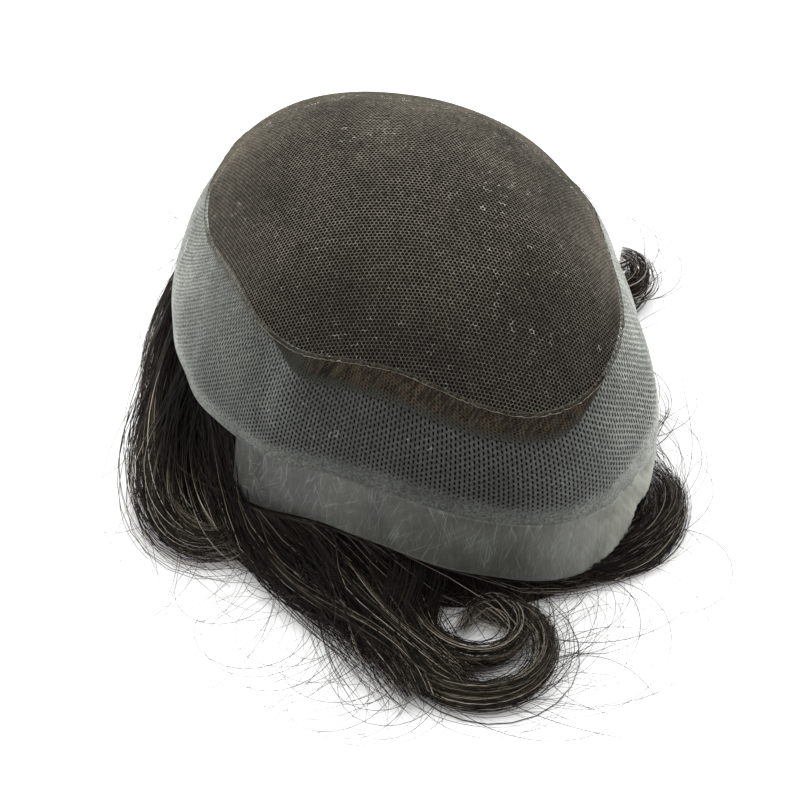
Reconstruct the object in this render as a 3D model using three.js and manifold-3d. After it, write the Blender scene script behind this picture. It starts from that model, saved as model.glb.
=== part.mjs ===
// A toupee hairpiece that lies inside out: the lace crown and the gauze band show their scalp side,
// and the hair lines the underside and spreads over the table all round.
// Millimetres, +Z up, the table at z = 0, the near side towards -Y and the right side towards +X.
import * as THREE from 'three';
import { mergeVertices } from 'three/addons/utils/BufferGeometryUtils.js';
import Module from 'manifold-3d';

const wasm = await Module();
wasm.setup();

// Base cap
const BASE_WIDTH = 144;
const BASE_LENGTH = 162;
const BASE_DEPTH = 63;
const TABLE_CLEARANCE = 6.5;
const NOD_DEGREES = -1.1;
const LEAN_DEGREES = 6.1;

// Walls of cloth and film
const LACE_WALL = 1.0;
const BAND_WALL = 1.0;
const HEM_WALL = 1.1;
const STRIP_WALL = 1.0;
const SEAM_GAP = 0.35;

// Hem under the lace and clear strip under the band
const HEM_HEIGHT = 9;
const STRIP_HEIGHT = 22;
const STRIP_FLARE = 3.2;

// Hair
const HAIR_LENGTH = 150;
const LOCK_WIDTH = 17;
const LOCK_DEPTH = 9;
const BED_THICKNESS = 5;
const BED_GAP = 0.75;
const SKIRT_FLARE = 11;

// Soft creases in the cap
const CREASE_DEPTH = 1.6;

// How finely the forms are faceted
const COLUMNS = 40;
const LACE_ROWS = 6;
const BAND_ROWS = 4;
const BED_ROWS = 6;
const SKIRT_ROWS = 3;
const LOCK_SIDES = 6;
const LOCK_STEPS = 11;

// The plan is a rounded square, the profile a slightly full quarter circle
const PLAN_POWER = 2.5;
const PROFILE_POWER = 1.9;

// Twelve directions round the base, from the near side anticlockwise seen from above.
// spread: how far the rim stands out, as a share of the plan's radius there.
// rise: height of the rim over its mean plane, as a share of BASE_DEPTH.
// lace: where the lace ends, as a share of the way from the top to the rim.
const RIM = [
  { spread: -0.01, rise: 0.189, lace: 0.60 },
  { spread: 0.11, rise: 0.117, lace: 0.65 },
  { spread: 0.12, rise: 0.014, lace: 0.60 },
  { spread: 0.02, rise: -0.037, lace: 0.59 },
  { spread: -0.06, rise: -0.067, lace: 0.62 },
  { spread: -0.03, rise: -0.097, lace: 0.70 },
  { spread: 0.04, rise: -0.084, lace: 0.73 },
  { spread: 0.02, rise: 0.014, lace: 0.73 },
  { spread: -0.02, rise: 0.026, lace: 0.71 },
  { spread: -0.06, rise: -0.047, lace: 0.67 },
  { spread: -0.14, rise: -0.024, lace: 0.62 },
  { spread: -0.13, rise: 0.097, lace: 0.64 },
];

// Creases that run down the cap, as shares of CREASE_DEPTH; a push under 0 is a hollow.
// direction and breadth in degrees, from and to as shares of the way from the top to the rim.
const CREASES = [
  { direction: -113, breadth: 7, from: 0.5, to: 1.0, push: 1.0 },
  { direction: -101, breadth: 7, from: 0.55, to: 1.0, push: -0.8 },
  { direction: -38, breadth: 7, from: 0.6, to: 1.0, push: -1.0 },
  { direction: -26, breadth: 6, from: 0.65, to: 1.0, push: 0.7 },
  { direction: 28, breadth: 10, from: 0.2, to: 0.75, push: 0.9 },
  { direction: 150, breadth: 10, from: 0.5, to: 1.0, push: -0.7 },
];

// The hem between lace and band: its height along its length, as a share of HEM_HEIGHT
const HEM = [
  { direction: -126, height: 0.06 },
  { direction: -108, height: 0.8 },
  { direction: -80, height: 1.0 },
  { direction: -60, height: 0.8 },
  { direction: -42, height: 0.06 },
];

// The clear strip: along its length, its height as a share of STRIP_HEIGHT, and how far its
// lower edge stands out as a share of STRIP_FLARE
const STRIP = [
  { direction: -125, height: 1.0, flare: 0 },
  { direction: -108, height: 0.84, flare: 0 },
  { direction: -70, height: 0.95, flare: 0 },
  { direction: -50, height: 0.96, flare: 0.75 },
  { direction: -43, height: 0.8, flare: 1.0 },
  { direction: -34, height: 0.52, flare: 0.7 },
  { direction: -24, height: 0.12, flare: 0.25 },
];

// Locks of hair. root: direction round the base in degrees, from which the lock comes out.
// heading: the way it leaves in plan; bend: how far it turns along its length, evenly;
// curl: how far it turns besides, mostly near its tip. All in degrees, anticlockwise.
// length, width, depth: shares of HAIR_LENGTH, LOCK_WIDTH and LOCK_DEPTH.
// drop: the share of the length over which it comes down; rest: height of its middle at the tip,
// as a share of its depth.
const LOCKS = [
  // left side, swept forward into a round curl
  { root: 161, heading: -110, bend: 25, curl: 50, length: 0.56, width: 0.7, depth: 1.1, drop: 0.9, rest: 0.6 },
  { root: 180, heading: -108, bend: 20, curl: 215, length: 0.72, width: 0.8, depth: 1.1, drop: 0.8, rest: 0.5 },
  { root: -162, heading: -103, bend: -20, curl: 290, length: 0.52, width: 0.8, depth: 1.2, drop: 0.8, rest: 0.6 },
  { root: -153, heading: -93, bend: 28, curl: 34, length: 0.36, width: 0.9, depth: 1.2, drop: 0.9, rest: 0.6 },
  // fringe from under the near left
  { root: -143, heading: -92, bend: 150, curl: -122, length: 0.76, width: 0.75, depth: 1.0, drop: 0.5, rest: 0.5 },
  { root: -133, heading: -82, bend: 112, curl: -104, length: 0.64, width: 0.8, depth: 1.2, drop: 0.5, rest: 0.6 },
  { root: -122, heading: -54, bend: 9, curl: -20, length: 0.52, width: 0.9, depth: 1.2, drop: 0.5, rest: 0.6 },
  { root: -108, heading: -62, bend: 30, curl: 0, length: 0.42, width: 0.9, depth: 1.1, drop: 0.6, rest: 0.6 },
  { root: -96, heading: -70, bend: 30, curl: 0, length: 0.34, width: 0.9, depth: 1.1, drop: 0.6, rest: 0.6 },
  // front ring, and the roots beside it
  { root: -84, heading: -127, bend: 252, curl: 140, length: 0.8, width: 0.62, depth: 1.0, drop: 0.35, rest: 0.5 },
  { root: -80, heading: -126, bend: 230, curl: 200, length: 0.52, width: 0.6, depth: 1.1, drop: 0.35, rest: 0.6 },
  { root: -74, heading: -60, bend: 20, curl: 0, length: 0.18, width: 1.0, depth: 1.0, drop: 0.6, rest: 0.6 },
  // along the near right rim and round the right corner
  { root: -76, heading: 1, bend: 12, curl: 41, length: 0.36, width: 0.5, depth: 0.8, drop: 0.25, rest: 0.5 },
  { root: -56, heading: -4, bend: 101, curl: 12, length: 0.4, width: 0.6, depth: 0.8, drop: 0.3, rest: 0.5 },
  { root: -50, heading: 10, bend: 75, curl: 58, length: 0.36, width: 0.6, depth: 0.8, drop: 0.3, rest: 0.5 },
  { root: -22, heading: 60, bend: 30, curl: 30, length: 0.24, width: 0.6, depth: 0.8, drop: 0.4, rest: 0.5 },
  { root: 4, heading: 76, bend: 20, curl: 30, length: 0.24, width: 0.6, depth: 0.9, drop: 0.4, rest: 0.5 },
  // tuft at the far right
  { root: 30, heading: 20, bend: 50, curl: 100, length: 0.26, width: 1.0, depth: 1.1, drop: 0.7, rest: 0.8 },
  // far left, close under the rim
  { root: 139, heading: -126, bend: 20, curl: 20, length: 0.38, width: 0.7, depth: 1.2, drop: 0.9, rest: 0.6 },
];

// Plain locks under the hidden far rim, one every FAR_SPACING degrees; their heading is counted
// from their root, and every other one is shorter by FAR_STAGGER
const FAR_FIRST = 48;
const FAR_LAST = 115;
const FAR_SPACING = 13;
const FAR_STAGGER = 0.08;
const FAR_LOCK = {
  heading: 62, bend: 45, curl: 40, length: 0.4, width: 1.15, depth: 1.1, drop: 0.65, rest: 0.5,
};

// A lock starts on the bed at these shares of the way from the top to the rim
const ROOT_SHARES = [0.9];
// and ducks under the walls that it passes, at these directions ahead of its root
const LOOK_AHEAD = [0, 8, 16, 24];
const CURL_POWER = 3.2;
const STEP_CROWDING = 0.8;
const LOCK_TIP = 0.22;
const LOCK_SHOULDER = 0.8;
// a lock swells from its shoulder over the first of these shares of its length and tapers from the second
const LOCK_SWELL = 0.333;
const LOCK_TAPER_FROM = 0.35;
const LOCK_RIDGE = 0.12;
const TABLE_SLAB = 40;
const TABLE_DIP = 1;
const STRIP_END_ROOM = 1;

const radians = THREE.MathUtils.degToRad;
const lerp = THREE.MathUtils.lerp;
const smooth = (value) => THREE.MathUtils.smoothstep(value, 0, 1);

// Smooth value of one column of RIM in a direction given in degrees
function aroundRim(column, direction) {
  const count = RIM.length;
  const place = (((direction + 90) % 360) + 360) % 360 / (360 / count);
  const low = Math.floor(place);
  const t = place - low;
  const [a, b, c, d] = [-1, 0, 1, 2].map((step) => RIM[(low + step + count) % count][column]);
  return b + 0.5 * t * (c - a + t * (2 * a - 5 * b + 4 * c - d + t * (3 * (b - c) + d - a)));
}

// Smooth value of one column of a table of rows, held beyond its first and last direction
function alongRows(rows, column, direction) {
  const next = rows.findIndex((row) => row.direction >= direction);
  if (next === 0) return rows[0][column];
  if (next < 0) return rows[rows.length - 1][column];
  const [from, to] = [rows[next - 1], rows[next]];
  const share = (direction - from.direction) / (to.direction - from.direction);
  return lerp(from[column], to[column], smooth(share));
}

// How far the creases push the cap's face out at a place
function creasePush(direction, share) {
  return CREASES.reduce((push, crease) => {
    const turn = ((direction - crease.direction + 540) % 360) - 180;
    const across = Math.exp(-((turn / crease.breadth) ** 2));
    const along = (share - crease.from) / (crease.to - crease.from);
    return push + CREASE_DEPTH * crease.push * across * smooth(2 * along);
  }, 0);
}

// Point of the cap's outer face: direction in degrees, share from the top, 0, to the rim, 1
function capPoint(direction, share) {
  const angle = radians(direction);
  const along = Math.abs(Math.cos(angle) / (BASE_WIDTH / 2)) ** PLAN_POWER;
  const across = Math.abs(Math.sin(angle) / (BASE_LENGTH / 2)) ** PLAN_POWER;
  const radius = (along + across) ** (-1 / PLAN_POWER) * (1 + aroundRim('spread', direction));
  const rimHeight = aroundRim('rise', direction) * BASE_DEPTH;
  const out = Math.sin(share * Math.PI / 2) ** (2 / PROFILE_POWER);
  const reach = radius * out + creasePush(direction, share);
  const up = Math.max(Math.cos(share * Math.PI / 2), 0) ** (2 / PROFILE_POWER);
  return new THREE.Vector3(
    reach * Math.cos(angle),
    reach * Math.sin(angle),
    lerp(rimHeight, BASE_DEPTH, up),
  );
}

// Outward direction of the cap's face
function capNormal(direction, share) {
  const step = 0.01;
  if (share < step) return new THREE.Vector3(0, 0, 1);
  const round = capPoint(direction + 1, share).sub(capPoint(direction - 1, share));
  const down = capPoint(direction, Math.min(share, 1 - step) + step);
  down.sub(capPoint(direction, Math.min(share, 1 - step) - step));
  return down.cross(round).normalize();
}

// Point under the cap's outer face by an inset, measured square to it
function insetPoint(direction, share, inset) {
  return capPoint(direction, share).addScaledVector(capNormal(direction, share), -inset);
}

// Share of the profile that a height along the cap's face takes up, just below the lace
function profileShare(direction, height) {
  const share = aroundRim('lace', direction);
  const step = 0.01;
  const length = capPoint(direction, share + step).distanceTo(capPoint(direction, share));
  return height * step / length;
}

const hemStart = HEM[0].direction;
const hemEnd = HEM[HEM.length - 1].direction;
const stripStart = STRIP[0].direction;
const stripEnd = STRIP[STRIP.length - 1].direction;
const isBetween = (value, low, high) => value >= low - 1e-6 && value <= high + 1e-6;

const hemHeight = (direction) => HEM_HEIGHT * alongRows(HEM, 'height', direction);
const stripHeight = (direction) => STRIP_HEIGHT * alongRows(STRIP, 'height', direction);
const stripFlare = (direction) => STRIP_FLARE * alongRows(STRIP, 'flare', direction);

// The way out from the rim, level
const outward = (direction) => capNormal(direction, 1).setZ(0).normalize();

// Where the band starts: under the lace, or under the hem where there is one
function bandTop(direction) {
  const hem = isBetween(direction, hemStart, hemEnd) ? hemHeight(direction) + SEAM_GAP : 0;
  return aroundRim('lace', direction) + profileShare(direction, hem + SEAM_GAP);
}

// Directions round the whole base, with a column at each end of the hem
function roundDirections() {
  const span = hemEnd - hemStart;
  const hemColumns = Math.round(COLUMNS * span / 360);
  const restColumns = COLUMNS - hemColumns;
  const directions = [];
  for (let column = 0; column < hemColumns; column += 1) {
    directions.push(hemStart + span * column / hemColumns);
  }
  for (let column = 0; column < restColumns; column += 1) {
    directions.push(hemEnd + (360 - span) * column / restColumns);
  }
  return directions;
}

function partDirections(start, end) {
  const columns = Math.ceil(COLUMNS * (end - start) / 360);
  return Array.from({ length: columns + 1 }, (_, column) => start + (end - start) * column / columns);
}

// Directions beyond 180 degrees are brought back, so that the tables find them
const wrapped = (direction) => (direction > 180 ? direction - 360 : direction);

// A closed mesh from points and triangles, with doubled points merged and collapsed triangles left out
function closedGeometry(points, triangles) {
  const loose = new THREE.BufferGeometry().setFromPoints(points);
  loose.setIndex(triangles);
  const merged = mergeVertices(loose, 1e-4);
  const kept = [];
  const index = merged.index.array;
  for (let start = 0; start < index.length; start += 3) {
    const [a, b, c] = [index[start], index[start + 1], index[start + 2]];
    if (a !== b && b !== c && c !== a) kept.push(a, b, c);
  }
  merged.setIndex(kept);
  merged.computeVertexNormals();
  return merged;
}

// A wall: an outer and an inner skin over the same directions and rows, joined at every free edge.
// point(direction, row share, inset) gives a place on either skin.
function wallGeometry({ directions, closed, rows, outside, inside, point }) {
  const columns = directions.length;
  const points = [];
  for (const inset of [outside, inside]) {
    for (let row = 0; row <= rows; row += 1) {
      for (const direction of directions) points.push(point(wrapped(direction), row / rows, inset));
    }
  }
  const at = (skin, row, column) => (skin * (rows + 1) + row) * columns + column % columns;
  const triangles = [];
  const quad = (a, b, c, d) => triangles.push(a, b, c, a, c, d);
  const lastColumn = closed ? columns : columns - 1;
  for (let column = 0; column < lastColumn; column += 1) {
    for (let row = 0; row < rows; row += 1) {
      quad(at(0, row, column), at(0, row + 1, column), at(0, row + 1, column + 1), at(0, row, column + 1));
      quad(at(1, row, column), at(1, row, column + 1), at(1, row + 1, column + 1), at(1, row + 1, column));
    }
    quad(at(0, 0, column), at(0, 0, column + 1), at(1, 0, column + 1), at(1, 0, column));
    quad(at(0, rows, column), at(1, rows, column), at(1, rows, column + 1), at(0, rows, column + 1));
  }
  if (!closed) {
    const last = columns - 1;
    for (let row = 0; row < rows; row += 1) {
      quad(at(0, row, 0), at(1, row, 0), at(1, row + 1, 0), at(0, row + 1, 0));
      quad(at(0, row, last), at(0, row + 1, last), at(1, row + 1, last), at(1, row, last));
    }
  }
  return closedGeometry(points, triangles);
}

function laceCrownGeometry() {
  return wallGeometry({
    directions: roundDirections(),
    closed: true,
    rows: LACE_ROWS,
    outside: 0,
    inside: LACE_WALL,
    point: (direction, row, inset) => insetPoint(direction, aroundRim('lace', direction) * row, inset),
  });
}

function gauzeBandGeometry() {
  return wallGeometry({
    directions: roundDirections(),
    closed: true,
    rows: BAND_ROWS,
    outside: 0,
    inside: BAND_WALL,
    point: (direction, row, inset) => insetPoint(direction, lerp(bandTop(direction), 1, row), inset),
  });
}

function hemGeometry() {
  return wallGeometry({
    directions: roundDirections().filter((direction) => isBetween(direction, hemStart, hemEnd)),
    closed: false,
    rows: 1,
    outside: 0,
    inside: HEM_WALL,
    point: (direction, row, inset) => {
      const top = aroundRim('lace', direction) + profileShare(direction, SEAM_GAP);
      const height = profileShare(direction, hemHeight(direction));
      return insetPoint(direction, top + height * row, inset);
    },
  });
}

// Place at a height under the rim, where the clear strip hangs down and flares out
function hangingPoint(direction, row, inset, height) {
  const place = insetPoint(direction, 1, inset);
  place.addScaledVector(outward(direction), stripFlare(direction) * row ** 2);
  place.z = capPoint(direction, 1).z - height;
  return place;
}

function stripPoint(direction, row, inset) {
  return hangingPoint(direction, row, inset, lerp(SEAM_GAP, stripHeight(direction), row));
}

function clearStripGeometry() {
  return wallGeometry({
    directions: partDirections(stripStart, stripEnd),
    closed: false,
    rows: 2,
    outside: 0,
    inside: STRIP_WALL,
    point: stripPoint,
  });
}

// Geometry to solid and back
function solidOf(geometry) {
  const bare = new THREE.BufferGeometry();
  bare.setAttribute('position', geometry.getAttribute('position').clone());
  if (geometry.index) bare.setIndex(geometry.index.clone());
  const merged = mergeVertices(bare, 1e-4);
  return new wasm.Manifold(new wasm.Mesh({
    numProp: 3,
    vertProperties: new Float32Array(merged.getAttribute('position').array),
    triVerts: new Uint32Array(merged.index.array),
  }));
}

function geometryOf(solid) {
  const mesh = solid.getMesh();
  const geometry = new THREE.BufferGeometry();
  geometry.setAttribute('position', new THREE.BufferAttribute(new Float32Array(mesh.vertProperties), 3));
  geometry.setIndex(new THREE.BufferAttribute(new Uint32Array(mesh.triVerts), 1));
  geometry.computeVertexNormals();
  return geometry;
}

// The base is tipped over and lifted until its lowest edge is TABLE_CLEARANCE over the table
const base = new THREE.Group();
base.rotation.set(radians(NOD_DEGREES), radians(LEAN_DEGREES), 0, 'YXZ');
base.updateMatrix();

// Lower edge of the walls in a direction: the band's rim, or the clear strip's edge
function lowerEdge(direction) {
  const turned = wrapped(direction);
  const hasStrip = isBetween(turned, stripStart, stripEnd);
  return hasStrip ? stripPoint(turned, 1, 0) : capPoint(turned, 1);
}

function lowestEdge() {
  const heights = [...roundDirections(), ...partDirections(stripStart, stripEnd)].map(
    (direction) => lowerEdge(direction).applyMatrix4(base.matrix).z,
  );
  return Math.min(...heights);
}

base.position.z = TABLE_CLEARANCE - lowestEdge();
base.updateMatrix();

const placed = (point) => point.applyMatrix4(base.matrix);
const thickestWall = Math.max(LACE_WALL, BAND_WALL, HEM_WALL, STRIP_WALL);
const bedInset = thickestWall + BED_GAP;

// Where a lock runs: places along it, and the plan direction that it faces at each
function lockRoute(lock) {
  const depth = lock.depth * LOCK_DEPTH;
  const inset = bedInset + depth / 2;
  const stations = ROOT_SHARES.map((share) => {
    const root = placed(insetPoint(lock.root, share, inset));
    return { place: root, facing: lock.root };
  });
  const foot = placed(insetPoint(lock.root, 1, inset));
  const edges = LOOK_AHEAD.map((ahead) => placed(lowerEdge(lock.root + ahead)).z);
  const topHeight = Math.min(foot.z, Math.min(...edges) - SEAM_GAP - depth / 2);
  const stepCount = LOCK_STEPS - ROOT_SHARES.length;
  const place = new THREE.Vector3(foot.x, foot.y, topHeight);
  const facingAt = (share) => lock.heading + lock.bend * share + lock.curl * share ** CURL_POWER;
  let from = 0;
  for (let step = 0; step <= stepCount; step += 1) {
    const to = (step / stepCount) ** STEP_CROWDING;
    const facing = radians(facingAt((from + to) / 2));
    const advance = (to - from) * lock.length * HAIR_LENGTH;
    place.x += Math.cos(facing) * advance;
    place.y += Math.sin(facing) * advance;
    place.z = lerp(topHeight, lock.rest * depth, smooth(to / lock.drop));
    stations.push({ place: place.clone(), facing: facingAt(to) });
    from = to;
  }
  return stations;
}

// How broad a lock is along its length, as a share of its greatest breadth
function lockFullness(share) {
  const swell = lerp(LOCK_SHOULDER, 1, smooth(share / LOCK_SWELL));
  return swell * lerp(1, LOCK_TIP, smooth((share - LOCK_TAPER_FROM) / (1 - LOCK_TAPER_FROM)));
}

// One lock: a ridged, flattened tube through its stations, closed at both ends
function lockGeometry(lock) {
  const stations = lockRoute(lock);
  const curve = new THREE.CatmullRomCurve3(stations.map((station) => station.place), false, 'centripetal');
  const points = [];
  const last = stations.length - 1;
  stations.forEach((station, step) => {
    const tangent = curve.getTangent(step / last);
    const facing = radians(station.facing);
    const side = new THREE.Vector3(-Math.sin(facing), Math.cos(facing), 0);
    const top = new THREE.Vector3().crossVectors(tangent, side).normalize();
    const fullness = lockFullness(step / last);
    for (let corner = 0; corner < LOCK_SIDES; corner += 1) {
      const turn = 2 * Math.PI * corner / LOCK_SIDES;
      const ridge = 1 - LOCK_RIDGE * (corner % 2);
      const across = Math.cos(turn) * ridge * fullness * lock.width * LOCK_WIDTH / 2;
      const over = Math.sin(turn) * ridge * Math.sqrt(fullness) * lock.depth * LOCK_DEPTH / 2;
      points.push(station.place.clone().addScaledVector(side, across).addScaledVector(top, over));
    }
  });
  const triangles = [];
  const at = (step, corner) => step * LOCK_SIDES + corner % LOCK_SIDES;
  for (let step = 0; step < last; step += 1) {
    for (let corner = 0; corner < LOCK_SIDES; corner += 1) {
      triangles.push(at(step, corner), at(step, corner + 1), at(step + 1, corner + 1));
      triangles.push(at(step, corner), at(step + 1, corner + 1), at(step + 1, corner));
    }
  }
  for (let corner = 1; corner < LOCK_SIDES - 1; corner += 1) {
    triangles.push(at(0, 0), at(0, corner + 1), at(0, corner));
    triangles.push(at(last, 0), at(last, corner), at(last, corner + 1));
  }
  return closedGeometry(points, triangles);
}

// Room kept clear of hair round the walls
function wallRoom() {
  const cap = wallGeometry({
    directions: roundDirections(),
    closed: true,
    rows: BED_ROWS,
    outside: -SEAM_GAP,
    inside: thickestWall + SEAM_GAP,
    point: (direction, row, inset) => {
      const place = insetPoint(direction, row, inset);
      place.z -= SEAM_GAP * row;
      return placed(place);
    },
  });
  const strip = wallGeometry({
    directions: partDirections(stripStart - STRIP_END_ROOM, stripEnd + STRIP_END_ROOM),
    closed: false,
    rows: 2,
    outside: -SEAM_GAP,
    inside: thickestWall + SEAM_GAP,
    point: (direction, row, inset) => {
      const height = lerp(-SEAM_GAP, stripHeight(direction) + SEAM_GAP, row);
      return placed(hangingPoint(direction, row, inset, height));
    },
  });
  return solidOf(cap).add(solidOf(strip));
}

// The hair under the cap: it lines the cap, hangs inside the clear strip, and below the walls
// flares out like a skirt down to the table
function bedPoint(direction, step, inset) {
  if (step <= BED_ROWS) return placed(insetPoint(direction, step / BED_ROWS, inset));
  const place = placed(insetPoint(direction, 1, inset));
  const spacing = 360 / COLUMNS;
  const edges = [-spacing, 0, spacing].map((turn) => placed(lowerEdge(direction + turn)).z);
  const ledge = Math.min(place.z, ...edges) - 2 * SEAM_GAP;
  const fall = (step - BED_ROWS - 1) / (SKIRT_ROWS - 1);
  const flare = Math.min(SKIRT_FLARE, ledge) * smooth(fall);
  place.addScaledVector(outward(direction), flare);
  place.z = lerp(ledge, -TABLE_DIP, fall);
  return place;
}

function bedGeometry() {
  const rows = BED_ROWS + SKIRT_ROWS;
  return wallGeometry({
    directions: roundDirections(),
    closed: true,
    rows,
    outside: bedInset,
    inside: bedInset + BED_THICKNESS,
    point: (direction, row, inset) => bedPoint(direction, Math.round(row * rows), inset),
  });
}

function farLocks() {
  const count = Math.floor((FAR_LAST - FAR_FIRST) / FAR_SPACING) + 1;
  return Array.from({ length: count }, (_, number) => {
    const root = FAR_FIRST + number * FAR_SPACING;
    const length = FAR_LOCK.length - FAR_STAGGER * (number % 2);
    return { ...FAR_LOCK, root, heading: root + FAR_LOCK.heading, length };
  });
}

// All hair is one body: the locks, cut clear of the walls and flat on the table, joined to the bed.
// Pockets closed off between locks and bed are filled.
function hairGeometry() {
  const locks = [...LOCKS, ...farLocks()]
    .map((lock) => solidOf(lockGeometry(lock)))
    .reduce((all, lock) => all.add(lock));
  const slab = new THREE.BoxGeometry(BASE_WIDTH * 4, BASE_LENGTH * 4, TABLE_SLAB);
  slab.translate(0, 0, -TABLE_SLAB / 2);
  const joined = locks.add(solidOf(bedGeometry())).subtract(wallRoom()).subtract(solidOf(slab));
  const outerShells = joined.decompose().filter((shell) => shell.volume() > 0);
  return geometryOf(outerShells.reduce((all, shell) => all.add(shell)));
}

function piece(name, geometry, colour, roughness) {
  const material = new THREE.MeshStandardMaterial({ color: colour, roughness, metalness: 0 });
  const mesh = new THREE.Mesh(geometry, material);
  mesh.name = name;
  return mesh;
}

base.add(piece('lace_crown', laceCrownGeometry(), '#5a554a', 0.9));
base.add(piece('lace_hem', hemGeometry(), '#54462f', 0.8));
base.add(piece('gauze_band', gauzeBandGeometry(), '#6f7471', 0.6));
base.add(piece('clear_strip', clearStripGeometry(), '#626763', 0.35));

const toupee = new THREE.Group();
toupee.add(base);
toupee.add(piece('hair', hairGeometry(), '#2a231d', 0.55));

// The origin is under the middle of the whole piece, on the table
const bounds = new THREE.Box3().setFromObject(toupee, true);
const middle = bounds.getCenter(new THREE.Vector3());
for (const child of toupee.children) {
  child.position.x -= middle.x;
  child.position.y -= middle.y;
}

export default toupee;
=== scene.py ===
"""A toupee hairpiece that lies inside out on a white table: lace net, hem tape, coated gauze band,
clear film strip, and the hair that spreads from under the rim. The CAD frame gives its place."""

import math
from collections import namedtuple

import bpy
import numpy as np
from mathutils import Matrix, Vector


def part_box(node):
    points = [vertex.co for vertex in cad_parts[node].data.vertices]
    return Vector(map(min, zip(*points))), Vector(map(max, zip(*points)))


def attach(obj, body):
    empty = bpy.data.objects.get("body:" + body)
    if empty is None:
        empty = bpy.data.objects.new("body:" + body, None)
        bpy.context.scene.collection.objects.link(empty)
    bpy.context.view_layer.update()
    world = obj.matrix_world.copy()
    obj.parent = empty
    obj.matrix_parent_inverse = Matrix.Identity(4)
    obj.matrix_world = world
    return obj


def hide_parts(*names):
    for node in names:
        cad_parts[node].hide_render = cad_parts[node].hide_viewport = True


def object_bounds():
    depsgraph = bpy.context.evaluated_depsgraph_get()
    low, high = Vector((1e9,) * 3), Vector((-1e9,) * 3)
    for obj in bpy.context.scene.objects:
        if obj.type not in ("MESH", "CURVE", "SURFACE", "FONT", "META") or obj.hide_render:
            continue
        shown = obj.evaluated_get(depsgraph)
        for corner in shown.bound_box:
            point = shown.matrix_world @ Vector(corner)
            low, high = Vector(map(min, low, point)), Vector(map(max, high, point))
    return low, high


bl_info = {
    "name": "Toupee Hairpiece",
    "version": (1, 0, 0),
    "blender": (4, 5, 0),
    "location": "View3D > Sidebar > Toupee",
    "description": "Builds a toupee hairpiece around its CAD frame",
    "category": "Add Mesh",
}

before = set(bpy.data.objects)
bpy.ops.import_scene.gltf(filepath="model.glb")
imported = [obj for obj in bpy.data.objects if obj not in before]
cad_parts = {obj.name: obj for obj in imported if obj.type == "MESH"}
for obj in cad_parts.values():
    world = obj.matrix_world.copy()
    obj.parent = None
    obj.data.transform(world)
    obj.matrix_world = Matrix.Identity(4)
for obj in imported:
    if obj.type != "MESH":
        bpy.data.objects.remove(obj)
CAD_LOW, CAD_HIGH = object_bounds()

MM = 0.001
SEED = 2915

# Twelve directions round the base, every 30 degrees from the near side, anticlockwise:
# how far the rim stands out, its height over its mean plane as a share of the depth,
# and where the lace ends on the way from the top, 0, to the rim, 1
RIM_SPREAD = np.array([-0.01, 0.11, 0.12, 0.02, -0.06, -0.03, 0.04, 0.02, -0.02, -0.06, -0.14, -0.13])
RIM_RISE = np.array([
    0.189, 0.117, 0.014, -0.037, -0.067, -0.097, -0.084, 0.014, 0.026, -0.047, -0.024, 0.097
])
LACE_END = np.array([0.60, 0.65, 0.60, 0.59, 0.62, 0.70, 0.73, 0.73, 0.71, 0.67, 0.62, 0.64])

# Creases down the cap: direction, breadth, start, end, push as a share of CREASE_DEPTH
CREASES = [
    (-113, 7, 0.5, 1.0, 1.0),
    (-101, 7, 0.55, 1.0, -0.8),
    (-38, 7, 0.6, 1.0, -1.0),
    (-26, 6, 0.65, 1.0, 0.7),
    (28, 10, 0.2, 0.75, 0.9),
    (150, 10, 0.5, 1.0, -0.7),
]
CREASE_DEPTH = 1.6 * MM

# Directions and heights of the hem and of the clear strip, as shares of their full heights,
# and how far the strip's lower edge stands out, as a share of its flare
HEM = ((-126, -108, -80, -60, -42), (0.06, 0.8, 1.0, 0.8, 0.06))
STRIP = ((-125, -108, -70, -50, -43, -34, -24), (1.0, 0.84, 0.95, 0.96, 0.8, 0.52, 0.12))
STRIP_OUT = (STRIP[0], (0, 0, 0, 0.75, 1.0, 0.7, 0.25))

# Folds in the cloth at the strip's right corner and at the gather on the left: middle and breadth in
# degrees, radians of a fold to a degree, and height; then the number and height of the waves all round
CORNER_FOLDS = (-41, 8, 0.8, 0.55 * MM)
GATHER_FOLDS = (-117, 7, 0.9, 0.3 * MM)
WAVES_ROUND = 17
WAVE_HEIGHT = 0.22 * MM

# Powers of the cap's outline and of its profile, and how far it tips
PLAN_POWER = 2.5
PROFILE_POWER = 1.9
NOD = math.radians(-1.1)
LEAN = math.radians(6.1)

# Columns and rows of the CAD lace, whose highest corners give the cap's place
CAD_COLUMNS = 40
CAD_LACE_ROWS = 6

# Gap between wall and hair, and how deep the hair lies under the cap's outer face
SEAM_GAP = 0.35 * MM
BED_INSET = 1.85 * MM

# The lining: its thickness, how far below the walls its skirt starts, its columns, and its rows under
# the cap and down the skirt
LINING_THICKNESS = 5 * MM
SKIRT_BELOW = 0.8 * MM
LINING_COLUMNS = 144
CROWN_ROWS = 22
SKIRT_ROWS = 10

# Hairs duck under a wall: how far in and out of its face, and how far below its edge
WALL_INWARD = 2.4 * MM
WALL_OUTWARD = 0.8 * MM
WALL_BELOW = 0.5 * MM

# The net: half breadth of a thread as a share of the pitch, how far its ridge stands out, the height
# of the net's own slow waves, and how far its points stray; the steps of the thread along its edge,
# its radius, and how far out it lies
THREAD_SHARE = 0.105
THREAD_RIDGE = 0.16 * MM
NET_WAVES = 0.25 * MM
NET_STRAY = 0.025 * MM
EDGE_STEPS = 480
EDGE_RADIUS = 0.12 * MM
EDGE_OUT = 0.25 * MM

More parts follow.
